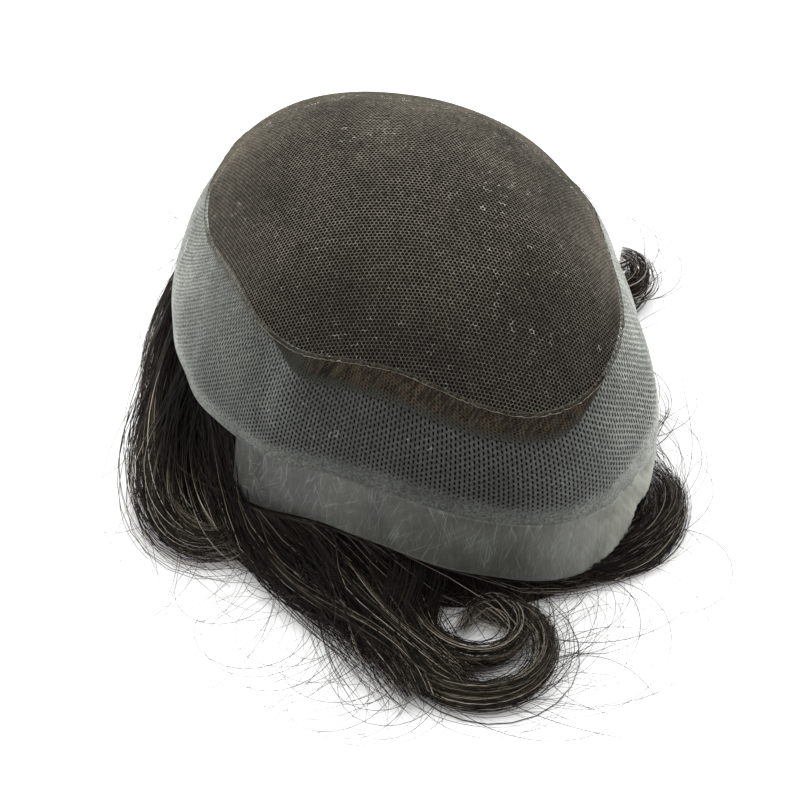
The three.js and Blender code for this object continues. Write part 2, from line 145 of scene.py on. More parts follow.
# How far the holes of gauze and tape are dished, in metres, then the band's length, its rows of holes,
# and how far it reaches under the lace on the way from the top to the rim
DISH = 0.12 * MM
BAND_LENGTH = 490 * MM
BAND_ROWS = 23
BAND_OVERLAP = 0.012

# The tape: its columns and rows of holes, how far it reaches under the lace, and its height over
# the gauze
TAPE_COLUMNS = 116
TAPE_ROWS = 9
TAPE_OVERLAP = 0.008
TAPE_OUT = 0.3 * MM

# The film: its columns and rows, its thickness, how far it lies behind the wall's face and reaches up
# behind the rim, and the middle, breadth and height of the pleats at its right end
FILM_COLUMNS = 220
FILM_ROWS = 22
FILM_THICKNESS = 0.35 * MM
FILM_BEHIND = 0.12 * MM
FILM_OVERLAP = 1 * MM
FILM_PLEATS = (-40, 12, 0.16 * MM)

# Scratches in the film: slant in radians and strength
SCRATCHES = ((0.1, 0.22), (0.35, 0.2), (-0.3, 0.2), (0.9, 0.2))

# One lock of hair: root, heading, bend and curl in degrees, then length, width and depth as shares
# of the full lock, the share of the length over which it comes down, and its resting height
Lock = namedtuple("Lock", "root heading bend curl length width depth drop rest")
LEFT_LOCKS = [
    Lock(161, -110, 25, 50, 0.56, 0.7, 1.1, 0.9, 0.6),
    Lock(180, -108, 20, 215, 0.72, 0.8, 1.1, 0.8, 0.5),
    Lock(-162, -103, -20, 290, 0.52, 0.8, 1.2, 0.8, 0.6),
    Lock(-153, -93, 28, 34, 0.36, 0.9, 1.2, 0.9, 0.6),
]
FRINGE_LOCKS = [
    Lock(-143, -92, 150, -122, 0.76, 0.75, 1.0, 0.5, 0.5),
    Lock(-133, -82, 112, -104, 0.64, 0.8, 1.2, 0.5, 0.6),
    Lock(-122, -54, 9, -20, 0.52, 0.9, 1.2, 0.5, 0.6),
    Lock(-108, -62, 30, 0, 0.42, 0.9, 1.1, 0.6, 0.6),
    Lock(-96, -70, 30, 0, 0.34, 0.9, 1.1, 0.6, 0.6),
]
RING_LOCKS = [
    Lock(-84, -127, 252, 140, 0.8, 0.62, 1.0, 0.35, 0.5),
    Lock(-80, -126, 230, 200, 0.52, 0.6, 1.1, 0.35, 0.6),
    Lock(-74, -60, 20, 0, 0.18, 1.0, 1.0, 0.6, 0.6),
]
RIGHT_LOCKS = [
    Lock(-76, 1, 12, 41, 0.36, 0.5, 0.8, 0.25, 0.5),
    Lock(-56, -4, 101, 12, 0.4, 0.6, 0.8, 0.3, 0.5),
    Lock(-50, 10, 75, 58, 0.36, 0.6, 0.8, 0.3, 0.5),
    Lock(-22, 60, 30, 30, 0.24, 0.6, 0.8, 0.4, 0.5),
    Lock(4, 76, 20, 30, 0.24, 0.6, 0.9, 0.4, 0.5),
]
TUFT_LOCKS = [Lock(30, 20, 50, 100, 0.26, 1.0, 1.1, 0.7, 0.8)]
FAR_LOCKS = [
    Lock(139, -126, 20, 20, 0.38, 0.7, 1.2, 0.9, 0.6),
] + [
    Lock(48 + 13 * n, 110 + 13 * n, 45, 40, 0.4 - 0.08 * (n % 2), 1.15, 1.1, 0.65, 0.5) for n in range(6)
]

# The pieces of these locks: locks, strands in a full lock, seed, spread of the strands over the
# lock's width, which way the loose strands lean, their share, and the share of lighter strands
LOCK_PIECES = {
    "left_curl": (LEFT_LOCKS, 1000, 1, 0.86, 0.3, 0.24, 0.42),
    "fringe": (FRINGE_LOCKS, 860, 2, 0.9, -0.5, 0.2, 0.2),
    "front_ring": (RING_LOCKS, 950, 3, 0.68, 0.2, 0.14, 0.42),
    "right_curl": (RIGHT_LOCKS[:3], 1050, 4, 0.8, 0.9, 0.4, 0.36),
    "right_wisps": (RIGHT_LOCKS[3:], 170, 9, 1.2, 0.0, 0.5, 0.3),
    "far_locks": (FAR_LOCKS, 300, 5, 1.0, 0.0, 0.2, 0.3),
    "tuft": (TUFT_LOCKS, 1200, 8, 0.85, 0.0, 0.2, 0.3),
}

# How far single hairs may stray from the hairpiece
HAIR_ROOM = 13 * MM

# How far the hair flares out below the rim, by direction
FLARE = ((-180, -115, -92, -70, 30, 70, 110, 180), (1.0, 1.0, 0.5, 0.12, 0.12, 0.4, 1.0, 1.0))

# Where the table shows between the hairs, in the front ring and beside the left curl:
# middle, half width, half length, and the share of hairs that cross it
GAPS = (
    (24.5 * MM, -81 * MM, 8.5 * MM, 10 * MM, 0.46),
    (-49 * MM, -60 * MM, 7 * MM, 7 * MM, 0.3),
)

# Where painted shade darkens the deep middle of the left curl: middle, half width and half length
CAVITY = (-61 * MM, -24 * MM, 9 * MM, 19 * MM)

# Stations along a lock, how closely they follow each other at its root, how late it curls, and the
# directions ahead of its root whose walls it passes under
LOCK_STEPS = 10
STEP_CROWDING = 0.8
CURL_POWER = 3.2
LOOK_AHEAD = (0, 8, 16, 24)

# Strands of a clump, then, as shares of the lock's half width, the spread of its clumps and its
# limit, of the hairs in a clump, and of the loose hairs
CLUMP_STRANDS = 9
CLUMP_SPREAD = 0.48
CLUMP_LIMIT = 1.4
HAIR_SPREAD = 0.12
LOOSE_SPREAD = 0.9

# Tones of hair from dark, 0, to pale, 1: of the mass at most, of lighter hairs and of the palest,
# the share of these among the lighter, and how fine lighter hairs are
# the lighter and palest hairs are partly real paler hairs and partly painted shine along lit hairs
DARK_TONES = 0.32
LIGHTER_TONES = (0.35, 0.75)
PALEST_TONES = (0.75, 1.0)
PALEST_SHARE = 0.28
LIGHTER_RADIUS = 0.72

# Short strands at the rim and their steps, and the steps of the single hairs
RIM_STRANDS = 1300
RIM_STEPS = 9
FLYAWAY_STEPS = 20

# Single hairs for a lock of full length, the fewest for a lock, and the ranges in mm of their
# length, of the radius of their arcs and of their rise over the table
FLYAWAYS_PER_LOCK = 85
FEWEST_FLYAWAYS = 20
FLYAWAY_LENGTHS = (25, 95)
FLYAWAY_ARCS = (11, 42)
FLYAWAY_RISES = (0, 8)
LOWEST_HAIR = 0.3 * MM

# Size of the table, then the camera's place about the cap's, in degrees and metres, and its lens
TABLE_SIZE = 6
CAMERA_AZIMUTH = 3.8
CAMERA_ELEVATION = 45
CAMERA_DISTANCE = 0.56
CAMERA_RIGHT = 0.001
CAMERA_UP = -0.022
CAMERA_LENS = 84.06
CAMERA_SENSOR = 36

# Light of the white room, and the softboxes: name, place, size and power
ROOM_LIGHT = 0.85
SOFTBOXES = (
    ("top_softbox", (0.05, 0.1, 1.3), 1.2, 16),
    ("left_softbox", (-1.1, -0.3, 0.8), 0.9, 7),
    ("right_softbox", (1.2, 0.1, 0.6), 0.8, 6),
)
LIGHTS_AIM = (0, 0, 0.03)


def linear(colour):
    """An sRGB hex colour as linear red, green, blue and alpha."""
    channels = [int(colour[start:start + 2], 16) / 255 for start in (1, 3, 5)]
    return (*[c / 12.92 if c <= 0.04045 else ((c + 0.055) / 1.055) ** 2.4 for c in channels], 1.0)


def length_setting(label, about, millimetres):
    return bpy.props.FloatProperty(
        name=label, description=about, default=millimetres * MM, unit="LENGTH"
    )


def colour_setting(label, about, colour):
    return bpy.props.FloatVectorProperty(
        name=label, description=about, default=linear(colour), size=4, subtype="COLOR", min=0, max=1
    )


class ToupeeSizes(bpy.types.PropertyGroup):
    """Sizes of the hairpiece."""

    base_width: length_setting("Base width", "Width of the cap at its rim", 144)
    base_length: length_setting("Base length", "Length of the cap at its rim", 162)
    base_depth: length_setting("Base depth", "Height of the cap over its rim", 63)
    hem_height: length_setting("Hem height", "Greatest height of the hem tape", 9)
    strip_height: length_setting("Strip height", "Greatest height of the clear strip", 22)
    strip_flare: length_setting("Strip flare", "How far the strip's edge stands out at the right", 3.2)
    net_pitch: length_setting("Net pitch", "Distance between the cells of the lace", 1.14)
    gauze_pitch: length_setting("Gauze pitch", "Distance between the gauze's columns of holes", 1.15)
    hair_length: length_setting("Hair length", "Length of the hair", 150)
    lock_width: length_setting("Lock width", "Breadth of a full lock", 17)
    lock_depth: length_setting("Lock depth", "Thickness of a full lock", 9)
    strand_radius: length_setting("Strand radius", "Radius of a wisp of a few hairs", 0.15)
    skirt_flare: length_setting("Skirt flare", "How far the hair flares out below the rim", 11)


class ToupeeColours(bpy.types.PropertyGroup):
    """Colours of the hairpiece."""

    thread: colour_setting("Net thread", "Thread of the lace net", "#38342d")
    thread_light: colour_setting("Light thread", "Thread where the lace is worn pale", "#7d7668")
    # the light gauze is the coated gauze under painted light; the band mixes towards it by its painted
    # shade
    gauze: colour_setting("Gauze", "Coated gauze in its darker parts", "#2c2d28")
    gauze_light: colour_setting("Light gauze", "Coated gauze in its paler parts", "#a0a49c")
    tape: colour_setting("Hem tape", "Brown hem tape", "#1f1a12")
    tape_light: colour_setting("Light hem tape", "Worn yarns of the hem tape", "#3d3326")
    film: colour_setting("Film", "Clear strip over dark hair", "#2c2d29")
    # painted light: the strip mixes towards this paler grey at its right end, and also along its lower
    # edge
    film_light: colour_setting("Cloudy film", "Clear strip where it is cloudy", "#8c8e85")
    hair_dark: colour_setting("Dark hair", "Hair in its mass", "#060504")
    hair_brown: colour_setting("Brown hair", "Browner single hairs", "#2f271e")
    # partly painted shine: the palest hairs also stand in for light caught along lit hairs
    hair_pale_and_painted_shine: colour_setting("Pale hair", "Palest single hairs", "#b3aa9c")
    table: colour_setting("Table", "Plain white table", "#f7f7f7")


def between(a, b, c, d, t):
    """Smooth value at a share t of the way from b to c, with their neighbours a and d."""
    return b + 0.5 * t * (c - a + t * (2 * a - 5 * b + 4 * c - d + t * (3 * (b - c) + d - a)))


def around(values, direction):
    """Smooth value of a ring of values, the first of them at -90 degrees, in a direction in degrees."""
    count = len(values)
    place = ((np.asarray(direction, float) + 90) % 360) / (360 / count)
    low = np.floor(place).astype(int)
    return between(*(values[(low + step) % count] for step in (-1, 0, 1, 2)), place - low)


def smooth(value):
    value = np.clip(value, 0, 1)
    return value * value * (3 - 2 * value)


def along_rows(rows, direction):
    """Smooth height from a table of directions and heights."""
    starts, heights = np.array(rows[0], float), np.array(rows[1], float)
    direction = np.clip(direction, starts[0], starts[-1])
    low = np.clip(np.searchsorted(starts, direction, side="right") - 1, 0, len(starts) - 2)
    share = (direction - starts[low]) / (starts[low + 1] - starts[low])
    return heights[low] + (heights[low + 1] - heights[low]) * smooth(share)


def wrapped(direction):
    return (np.asarray(direction, float) + 180) % 360 - 180


def near_to(direction, middle, breadth):
    """1 in a middle direction, falling off to nothing beyond its breadth."""
    return np.exp(-((wrapped(direction - middle) / breadth) ** 2))


def folds(offset, breadth, rate, height):
    """Upright folds by their offset from the middle one, dying out over their breadth."""
    return height * np.sin(offset * rate) * np.exp(-((offset / breadth) ** 2))


def flare_share(direction):
    return along_rows(FLARE, wrapped(direction))


def settings_of(context):
    """Sizes and colours that the user has set, and the cap that they give."""
    sizes = context.scene.toupee_sizes
    return sizes, context.scene.toupee_colours, Cap(sizes)


def unit(vectors):
    return vectors / np.maximum(np.linalg.norm(vectors, axis=-1, keepdims=True), 1e-12)


class Cap:
    """The cap's surface, as in the CAD source, in metres and in the frame."""

    def __init__(self, sizes):
        self.half_width = sizes.base_width / 2
        self.half_length = sizes.base_length / 2
        self.depth = sizes.base_depth
        self.strip_height = sizes.strip_height
        self.strip_flare = sizes.strip_flare
        cos_nod, sin_nod = math.cos(NOD), math.sin(NOD)
        cos_lean, sin_lean = math.cos(LEAN), math.sin(LEAN)
        nod = np.array([[1, 0, 0], [0, cos_nod, -sin_nod], [0, sin_nod, cos_nod]])
        lean = np.array([[cos_lean, 0, sin_lean], [0, 1, 0], [-sin_lean, 0, cos_lean]])
        self.turn = lean @ nod
        self.place = np.zeros(3)
        corners = self.placed(self.point(*self.cad_lace_places()))
        self.place = np.array(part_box("lace_crown")[1]) - corners.reshape(-1, 3).max(axis=0)

    def cad_lace_places(self):
        """Directions and shares of the corners of the CAD lace."""
        span = HEM[0][-1] - HEM[0][0]
        hem_columns = round(CAD_COLUMNS * span / 360)
        rest = CAD_COLUMNS - hem_columns
        directions = np.concatenate([
            HEM[0][0] + span * np.arange(hem_columns) / hem_columns,
            HEM[0][-1] + (360 - span) * np.arange(rest) / rest,
        ])
        rows = np.arange(CAD_LACE_ROWS + 1) / CAD_LACE_ROWS
        return np.broadcast_arrays(directions, rows[:, None] * around(LACE_END, directions))

    def crease_push(self, direction, share):
        push = 0.0
        for middle, breadth, start, end, depth in CREASES:
            down = smooth(2 * (share - start) / (end - start))
            push = push + CREASE_DEPTH * depth * near_to(direction, middle, breadth) * down
        return push

    def point(self, direction, share):
        """Place on the outer face, before the cap is tipped."""
        angle = np.radians(direction)
        along = np.abs(np.cos(angle) / self.half_width) ** PLAN_POWER
        across = np.abs(np.sin(angle) / self.half_length) ** PLAN_POWER
        radius = (along + across) ** (-1 / PLAN_POWER) * (1 + around(RIM_SPREAD, direction))
        out = np.sin(np.clip(share, 0, 1) * math.pi / 2) ** (2 / PROFILE_POWER)
        up = np.maximum(np.cos(np.clip(share, 0, 1) * math.pi / 2), 0) ** (2 / PROFILE_POWER)
        reach = radius * out + self.crease_push(direction, share)
        rim = around(RIM_RISE, direction) * self.depth
        height = rim + (self.depth - rim) * up
        return np.stack([reach * np.cos(angle), reach * np.sin(angle), height], -1)

    def normal(self, direction, share):
        step = 0.01
        share = np.clip(share, step, 1 - step)
        across = self.point(direction + 1, share) - self.point(direction - 1, share)
        down = self.point(direction, share + step) - self.point(direction, share - step)
        return unit(np.cross(down, across))

    def placed(self, points):
        return points @ self.turn.T + self.place

    def surface(self, direction, share, out=0.0):
        """Place on the tipped cap, a way out from its outer face."""
        out = np.asarray(out, float)[..., None]
        return self.placed(self.point(direction, share) + self.normal(direction, share) * out)

    def drop(self, direction):
        """How far the wall hangs below the rim: the strip's height, or nothing."""
        direction = wrapped(direction)
        held = (direction >= STRIP[0][0]) & (direction <= STRIP[0][-1])
        return np.where(held, self.strip_height * along_rows(STRIP, direction), 0.0)

    def flare(self, direction):
        """How far the strip's lower edge stands out."""
        return self.strip_flare * along_rows(STRIP_OUT, wrapped(direction))

    def hanging(self, direction, fall, out=0.0):
        """Place a fall below the rim, straight down before the cap is tipped."""
        direction, fall = np.broadcast_arrays(np.asarray(direction, float), np.asarray(fall, float))
        height = np.maximum(self.drop(direction), 1 * MM)
        flare = self.flare(direction) * np.clip(fall / height, 0, 1) ** 2
        rim = self.point(direction, 1.0)
        local = rim + self.normal(direction, 1.0) * (out + flare)[..., None]
        local[..., 2] = rim[..., 2] - fall
        return self.placed(local)

    def puckers(self, direction, along):
        """How far the cloth bulges; along is 0 at the lace, 1 at the rim and 2 at the strip's edge."""
        direction, along = np.broadcast_arrays(np.asarray(direction, float), np.asarray(along, float))
        waves = WAVE_HEIGHT * np.sin(np.radians(direction) * WAVES_ROUND) * smooth(along * 1.5)
        slanting = wrapped(direction - CORNER_FOLDS[0]) + CORNER_FOLDS[1] * (1 - along)
        corner = folds(slanting, *CORNER_FOLDS[1:]) * smooth(along * 1.6 - 0.7)
        below = np.where(along > 1, np.maximum(1 - 0.5 * (along - 1), 0.3), 1)
        gather = folds(wrapped(direction - GATHER_FOLDS[0]), *GATHER_FOLDS[1:]) * smooth(along * 3)
        return waves + corner * below + gather * (along < 1.6)

    def lower_edge(self, direction):
        return self.hanging(direction, self.drop(direction))

    def duck(self, points):
        """Points brought down under the wall that they would pass through."""
        local = (points - self.place) @ self.turn
        direction = np.degrees(np.arctan2(local[..., 1], local[..., 0]))
        rim = self.point(direction, 1.0)
        drop = self.drop(direction)
        wall = np.hypot(rim[..., 0], rim[..., 1]) + self.flare(direction) * (drop > 0)
        outside = np.hypot(local[..., 0], local[..., 1]) - wall
        clear = np.maximum(-outside - WALL_INWARD, 0) + np.maximum(outside - WALL_OUTWARD, 0)
        highest = rim[..., 2] - drop - WALL_BELOW + clear
        local[..., 2] = np.minimum(local[..., 2], highest)
        return self.placed(local)


def mesh_of(name, points, *face_groups):
    """A mesh from points and arrays of faces, each array of one number of corners."""
    mesh = bpy.data.meshes.new(name)
    loops = np.concatenate([faces.ravel() for faces in face_groups])
    counts = np.concatenate([np.full(len(faces), faces.shape[1]) for faces in face_groups])
    starts = np.concatenate([[0], np.cumsum(counts)[:-1]])
    mesh.vertices.add(len(points))
    mesh.vertices.foreach_set("co", np.asarray(points, np.float32).ravel())
    mesh.loops.add(len(loops))
    mesh.loops.foreach_set("vertex_index", loops.astype(np.int32))
    mesh.polygons.add(len(counts))
    mesh.polygons.foreach_set("loop_start", starts.astype(np.int32))
    mesh.update(calc_edges=True)
    mesh.validate()
    return mesh


def flat_places(mesh):
    """Places of a flat mesh's points across and along it."""
    places = np.zeros(len(mesh.vertices) * 3)
    mesh.vertices.foreach_get("co", places)
    return places.reshape(-1, 3)[:, :2]


def set_attribute(mesh, name, values):
    attribute = mesh.attributes.new(name, "FLOAT", "POINT")
    attribute.data.foreach_set("value", np.asarray(values, np.float32).ravel())


def finished(name, mesh, material, slot, *replaced):
    """Links a finished mesh as a piece that rides on the hairpiece."""
    piece = bpy.data.objects.new(name, mesh)
    bpy.context.scene.collection.objects.link(piece)
    mesh.materials.clear()
    mesh.materials.append(material)
    mesh.polygons.foreach_set("use_smooth", np.ones(len(mesh.polygons), bool))
    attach(piece, "root")
    if replaced:
        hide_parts(*replaced)
    return piece


def edit_all(piece, *steps):
    """Runs operators on all of a piece in edit mode, each with its settings."""
    bpy.ops.object.select_all(action="DESELECT")
    piece.select_set(True)
    bpy.context.view_layer.objects.active = piece
    bpy.ops.object.mode_set(mode="EDIT")
    bpy.ops.mesh.select_all(action="SELECT")
    for operator, settings in steps:
        operator(**settings)
    bpy.ops.object.mode_set(mode="OBJECT")


def face_outward(piece):
    edit_all(piece, (bpy.ops.mesh.normals_make_consistent, {"inside": False}))


def add_node(tree, kind, output=None, stops=(), **values):
    """Adds a shader node and gives one of its outputs. Values named as inputs go there, linked where
    they are another node's output; others are settings. Stops are a ramp's places and colours."""
    node = tree.nodes.new("ShaderNode" + kind)
    inputs = {socket.identifier.replace(" ", "_"): socket for socket in node.inputs}
    for name, value in values.items():
        if name not in inputs:
            setattr(node, name, value)
        elif isinstance(value, bpy.types.NodeSocket):
            tree.links.new(value, inputs[name])
        else:
            inputs[name].default_value = value
    for count, (position, colour) in enumerate(stops):
        elements = node.color_ramp.elements
        element = elements[count] if count < len(elements) else elements.new(position)
        element.position = position
        element.color = colour if hasattr(colour, "__len__") else (colour, colour, colour, 1)
    return {socket.identifier: socket for socket in node.outputs}.get(output)


def new_material(name):
    material = bpy.data.materials.new(name)
    material.use_nodes = True
    material.node_tree.nodes.clear()
    return material, material.node_tree


def shade_with(tree, colour, roughness, specular, height=None, strength=0.0, depth=0.0):
    """Gives a material its colour, gloss and, from a height, its bump of some strength and depth."""
    settings = {"Base_Color": colour, "Roughness": roughness, "Specular_IOR_Level": specular}
    if height:
        settings["Normal"] = add_node(
            tree, "Bump", "Normal", Height=height, Strength=strength, Distance=depth
        )
    add_node(tree, "OutputMaterial", Surface=add_node(tree, "BsdfPrincipled", "BSDF", **settings))


def drawn_out(tree, rates, turn=(0, 0, 0), source="Object"):
    """Coordinates in turned axes, each run through at its own rate, so that a pattern is drawn out."""
    return add_node(
        tree, "Mapping", "Vector", vector_type="TEXTURE", Vector=add_node(tree, "TexCoord", source),
        Scale=[1 / rate for rate in rates], Rotation=turn,
    )


def pattern(tree, where, scale, low, high, detail=2, roughness=0.5, distortion=0.0):
    """Noise run through a ramp from a low to a high stop, each a place and a colour or a grey."""
    cloud = add_node(
        tree, "TexNoise", "Fac", Vector=where, Scale=scale, Detail=detail, Roughness=roughness,
        Distortion=distortion,
    )
    return add_node(tree, "ValToRGB", "Color", (low, high), Fac=cloud)


def layered(tree, colour, *layers):
    """A colour with layers laid over it, each given by its kind of blend, its share and its colour."""
    for blend_type, share, layer in layers:
        colour = add_node(
            tree, "Mix", "Result_Color", data_type="RGBA", blend_type=blend_type, Factor_Float=share,
            A_Color=colour, B_Color=layer,
        )
    return colour


def net_thread_material(colours):
    """Nylon lace yarn, knitted to a hexagonal net: soft, slightly shiny, paler where it is worn."""
    material, tree = new_material("nylon_lace_yarn")
    where = add_node(tree, "TexCoord", "Object")
    shade = add_node(tree, "Attribute", "Fac", attribute_name="shade")
    patches = pattern(tree, where, 38, (0.25, colours.thread), (0.85, colours.thread_light), 5, 0.65)
    yarn = pattern(tree, where, 1000, (0.3, 0.35), (0.7, 1.2))
    # lint caught in the net: fluffs of about 1 mm, denser in some parts than in others
    fluff = pattern(tree, where, 420, (0.62, 0.0), (0.72, 1.0), 2, 0.6)
    dense = pattern(tree, where, 30, (0.4, 0.15), (0.65, 1.0))
    lint = layered(tree, fluff, ("MULTIPLY", 1.0, dense))
    # painted shade darkens the net towards its near edge
    near = add_node(tree, "ValToRGB", "Color", ((0.0, 1.0), (1.0, 0.5)), Fac=shade)
    colour = layered(
        tree, patches, ("MULTIPLY", 1.0, yarn), ("MIX", lint, linear("#a5a196")), ("MULTIPLY", 1.0, near)
    )
    # fibres of the yarn, too fine to be drawn singly
    fibres = add_node(tree, "TexNoise", "Fac", Vector=where, Scale=2600)
    shade_with(tree, colour, 0.5, 0.18, fibres, 0.5, 0.1 * MM)
    return material


def gauze_material(colours):
    """Polyester gauze under a thin coat of polyurethane: grey, cloudy, softly glossy."""
    material, tree = new_material("coated_polyester_gauze")
    where = add_node(tree, "TexCoord", "Object")
    shade = add_node(tree, "Attribute", "Fac", attribute_name="shade")
    # painted shade: near black on the dished rims of the holes
    pit_shade = add_node(tree, "Attribute", "Fac", attribute_name="pit_shade")
    cloud = pattern(tree, where, 60, (0.3, 0.5), (0.72, 1.25), 5, 0.6)
    weave = add_node(tree, "TexNoise", "Fac", Vector=where, Scale=1500)
    woven = add_node(tree, "ValToRGB", "Color", ((0.32, 0.35), (0.68, 1.5)), Fac=weave)
    # fluff on the coat, in threads of a millimetre or two
    fluff = pattern(tree, drawn_out(tree, (1, 1, 0.45)), 500, (0.66, 0.0), (0.74, 1.0), 2, 0.6)
    dense = pattern(tree, where, 55, (0.5, 0.0), (0.66, 0.8))
    dust = layered(tree, fluff, ("MULTIPLY", 1.0, dense))
    # painted light and shade: the shade attribute mixes the dark gauze towards the light gauze at the
    # band's ends
    colour = layered(
        tree, colours.gauze, ("MIX", shade, colours.gauze_light), ("MULTIPLY", 0.85, cloud),
        ("MULTIPLY", 0.9, woven), ("MIX", dust, linear("#8b8f8a")), ("MIX", pit_shade, linear("#0c0c0b")),
    )
    shade_with(tree, colour, 0.5, 0.22, weave, 0.5, 0.15 * MM)
    return material


def tape_material(colours):
    """Brown knitted hem tape, matte, with slanting yarns."""
    material, tree = new_material("brown_knitted_tape")
    where = add_node(tree, "TexCoord", "Object")
    shade = add_node(tree, "Attribute", "Fac", attribute_name="shade")
    # painted shade: near black on the dished rims of the holes
    pit_shade = add_node(tree, "Attribute", "Fac", attribute_name="pit_shade")
    patches = add_node(tree, "TexNoise", "Fac", Vector=where, Scale=90, Detail=3)
    slanting = drawn_out(tree, (1500, 300, 250), (0, 0.75, 0))
    ribs = pattern(tree, slanting, 1.0, (0.38, 0.25), (0.62, 1.5), 1)
    yarn = add_node(tree, "TexNoise", "Fac", Vector=where, Scale=1300)
    grain = add_node(tree, "ValToRGB", "Color", ((0.3, 0.5), (0.7, 1.3)), Fac=yarn)
    colour = layered(
        tree, colours.tape, ("MIX", patches, colours.tape_light), ("MULTIPLY", 0.9, ribs),
        ("MULTIPLY", 0.7, grain), ("MIX", shade, colours.gauze), ("MIX", pit_shade, linear("#0b0907")),
    )
    shade_with(tree, colour, 0.8, 0.12, yarn, 0.6, 0.2 * MM)
    return material


def film_material(colours):
    """Cast polyurethane film over dark hair: cloudy grey, smooth, finely scratched."""
    material, tree = new_material("cast_polyurethane_film")
    where = add_node(tree, "TexCoord", "Object")
    shade = add_node(tree, "Attribute", "Fac", attribute_name="shade")
    cloud = pattern(tree, where, 70, (0.3, 0.6), (0.72, 1.35), 4, 0.55, 0.6)
    # hair behind the film and wear on it show as fine upright lines
    upright = pattern(tree, drawn_out(tree, (1300, 1300, 60)), 1.0, (0.35, 0.7), (0.65, 1.3))
    # painted light and shade: the shade attribute pales the film at its right end and darkens its left
    # end
    layers = [
        ("MIX", shade, colours.film_light), ("MULTIPLY", 0.85, cloud), ("MULTIPLY", 0.4, upright)
    ]
    # scratches slant several ways; each set is noise drawn out along one way
    for slant, strength in SCRATCHES:
        along = drawn_out(tree, (2600, 500, 70), (0, slant, 0))
        lines = pattern(tree, along, 1.0, (0.64, 0.0), (0.72, strength), 1)
        layers.append(("MIX", lines, linear("#8e928e")))
    speck = add_node(tree, "TexVoronoi", "Distance", Vector=where, Scale=260)
    speck = add_node(tree, "ValToRGB", "Color", ((0.03, 1.0), (0.06, 0.0)), Fac=speck)
    dusty = pattern(tree, where, 190, (0.79, 0.0), (0.83, 0.6), 1)
    layers.append(("MIX", layered(tree, speck, ("MULTIPLY", 1.0, dusty)), linear("#d5d8d4")))
    ripple = add_node(tree, "TexNoise", "Fac", Vector=where, Scale=500, Detail=4, Roughness=0.6)
    shade_with(tree, layered(tree, colours.film, *layers), 0.38, 0.3, ripple, 0.35, 0.2 * MM)
    return material


def hair_material(colours):
    """Human hair, dyed near black: each hair has its own tone and a narrow shine."""
    material, tree = new_material("human_hair")
    # the tone attribute holds each hair's own tone with painted shade and light laid on it
    tone = add_node(tree, "Attribute", "Fac", attribute_name="tone")
    stops = (
        (0.0, colours.hair_dark), (0.5, colours.hair_brown), (0.75, linear("#6a6155")),
        (1.0, colours.hair_pale_and_painted_shine),
    )
    shade_with(tree, add_node(tree, "ValToRGB", "Color", stops, Fac=tone), 0.4, 0.12)
    return material


def lining_material(colours):
    """Hair lying close together under the cap: near black, with fine lines along its way."""
    material, tree = new_material("close_lying_hair")
    fine = drawn_out(tree, (900, 6, 1), source="UV")
    fine = add_node(tree, "TexNoise", "Fac", Vector=fine, Scale=1.0, Detail=3)
    stops = ((0.4, colours.hair_dark), (0.85, colours.hair_brown))
    strand = add_node(tree, "ValToRGB", "Color", stops, Fac=fine)
    broad = pattern(tree, drawn_out(tree, (120, 3, 1), source="UV"), 1.0, (0.3, 0.4), (0.7, 1.0))
    colour = layered(tree, strand, ("MULTIPLY", 0.8, broad))
    shade_with(tree, colour, 0.6, 0.06, fine, 0.7, 0.3 * MM)
    return material


def net_places(cap, across, along):
    """Direction and share of the place that a flat net's point takes on the cap."""
    directions = np.arange(0, 361)
    last = 64
    shares = np.linspace(0, 1, last + 1)
    grid = cap.point(directions[:, None], shares[None, :])
    lengths = np.zeros((len(directions), len(shares)))
    lengths[:, 1:] = np.cumsum(np.linalg.norm(np.diff(grid, axis=1), axis=2), axis=1)
    direction = np.degrees(np.arctan2(along, across)) % 360
    reach = np.hypot(across, along)
    low = np.floor(direction).astype(int)
    part = (direction - low)[:, None]
    table = lengths[low] * (1 - part) + lengths[low + 1] * part
    above = np.clip((table < reach[:, None]).sum(axis=1), 1, last)
    row = np.arange(len(reach))
    before, after = table[row, above - 1], table[row, above]
    share = shares[above - 1] + (reach - before) / np.maximum(after - before, 1e-9) / last
    return direction, np.clip(share, 0, 1)


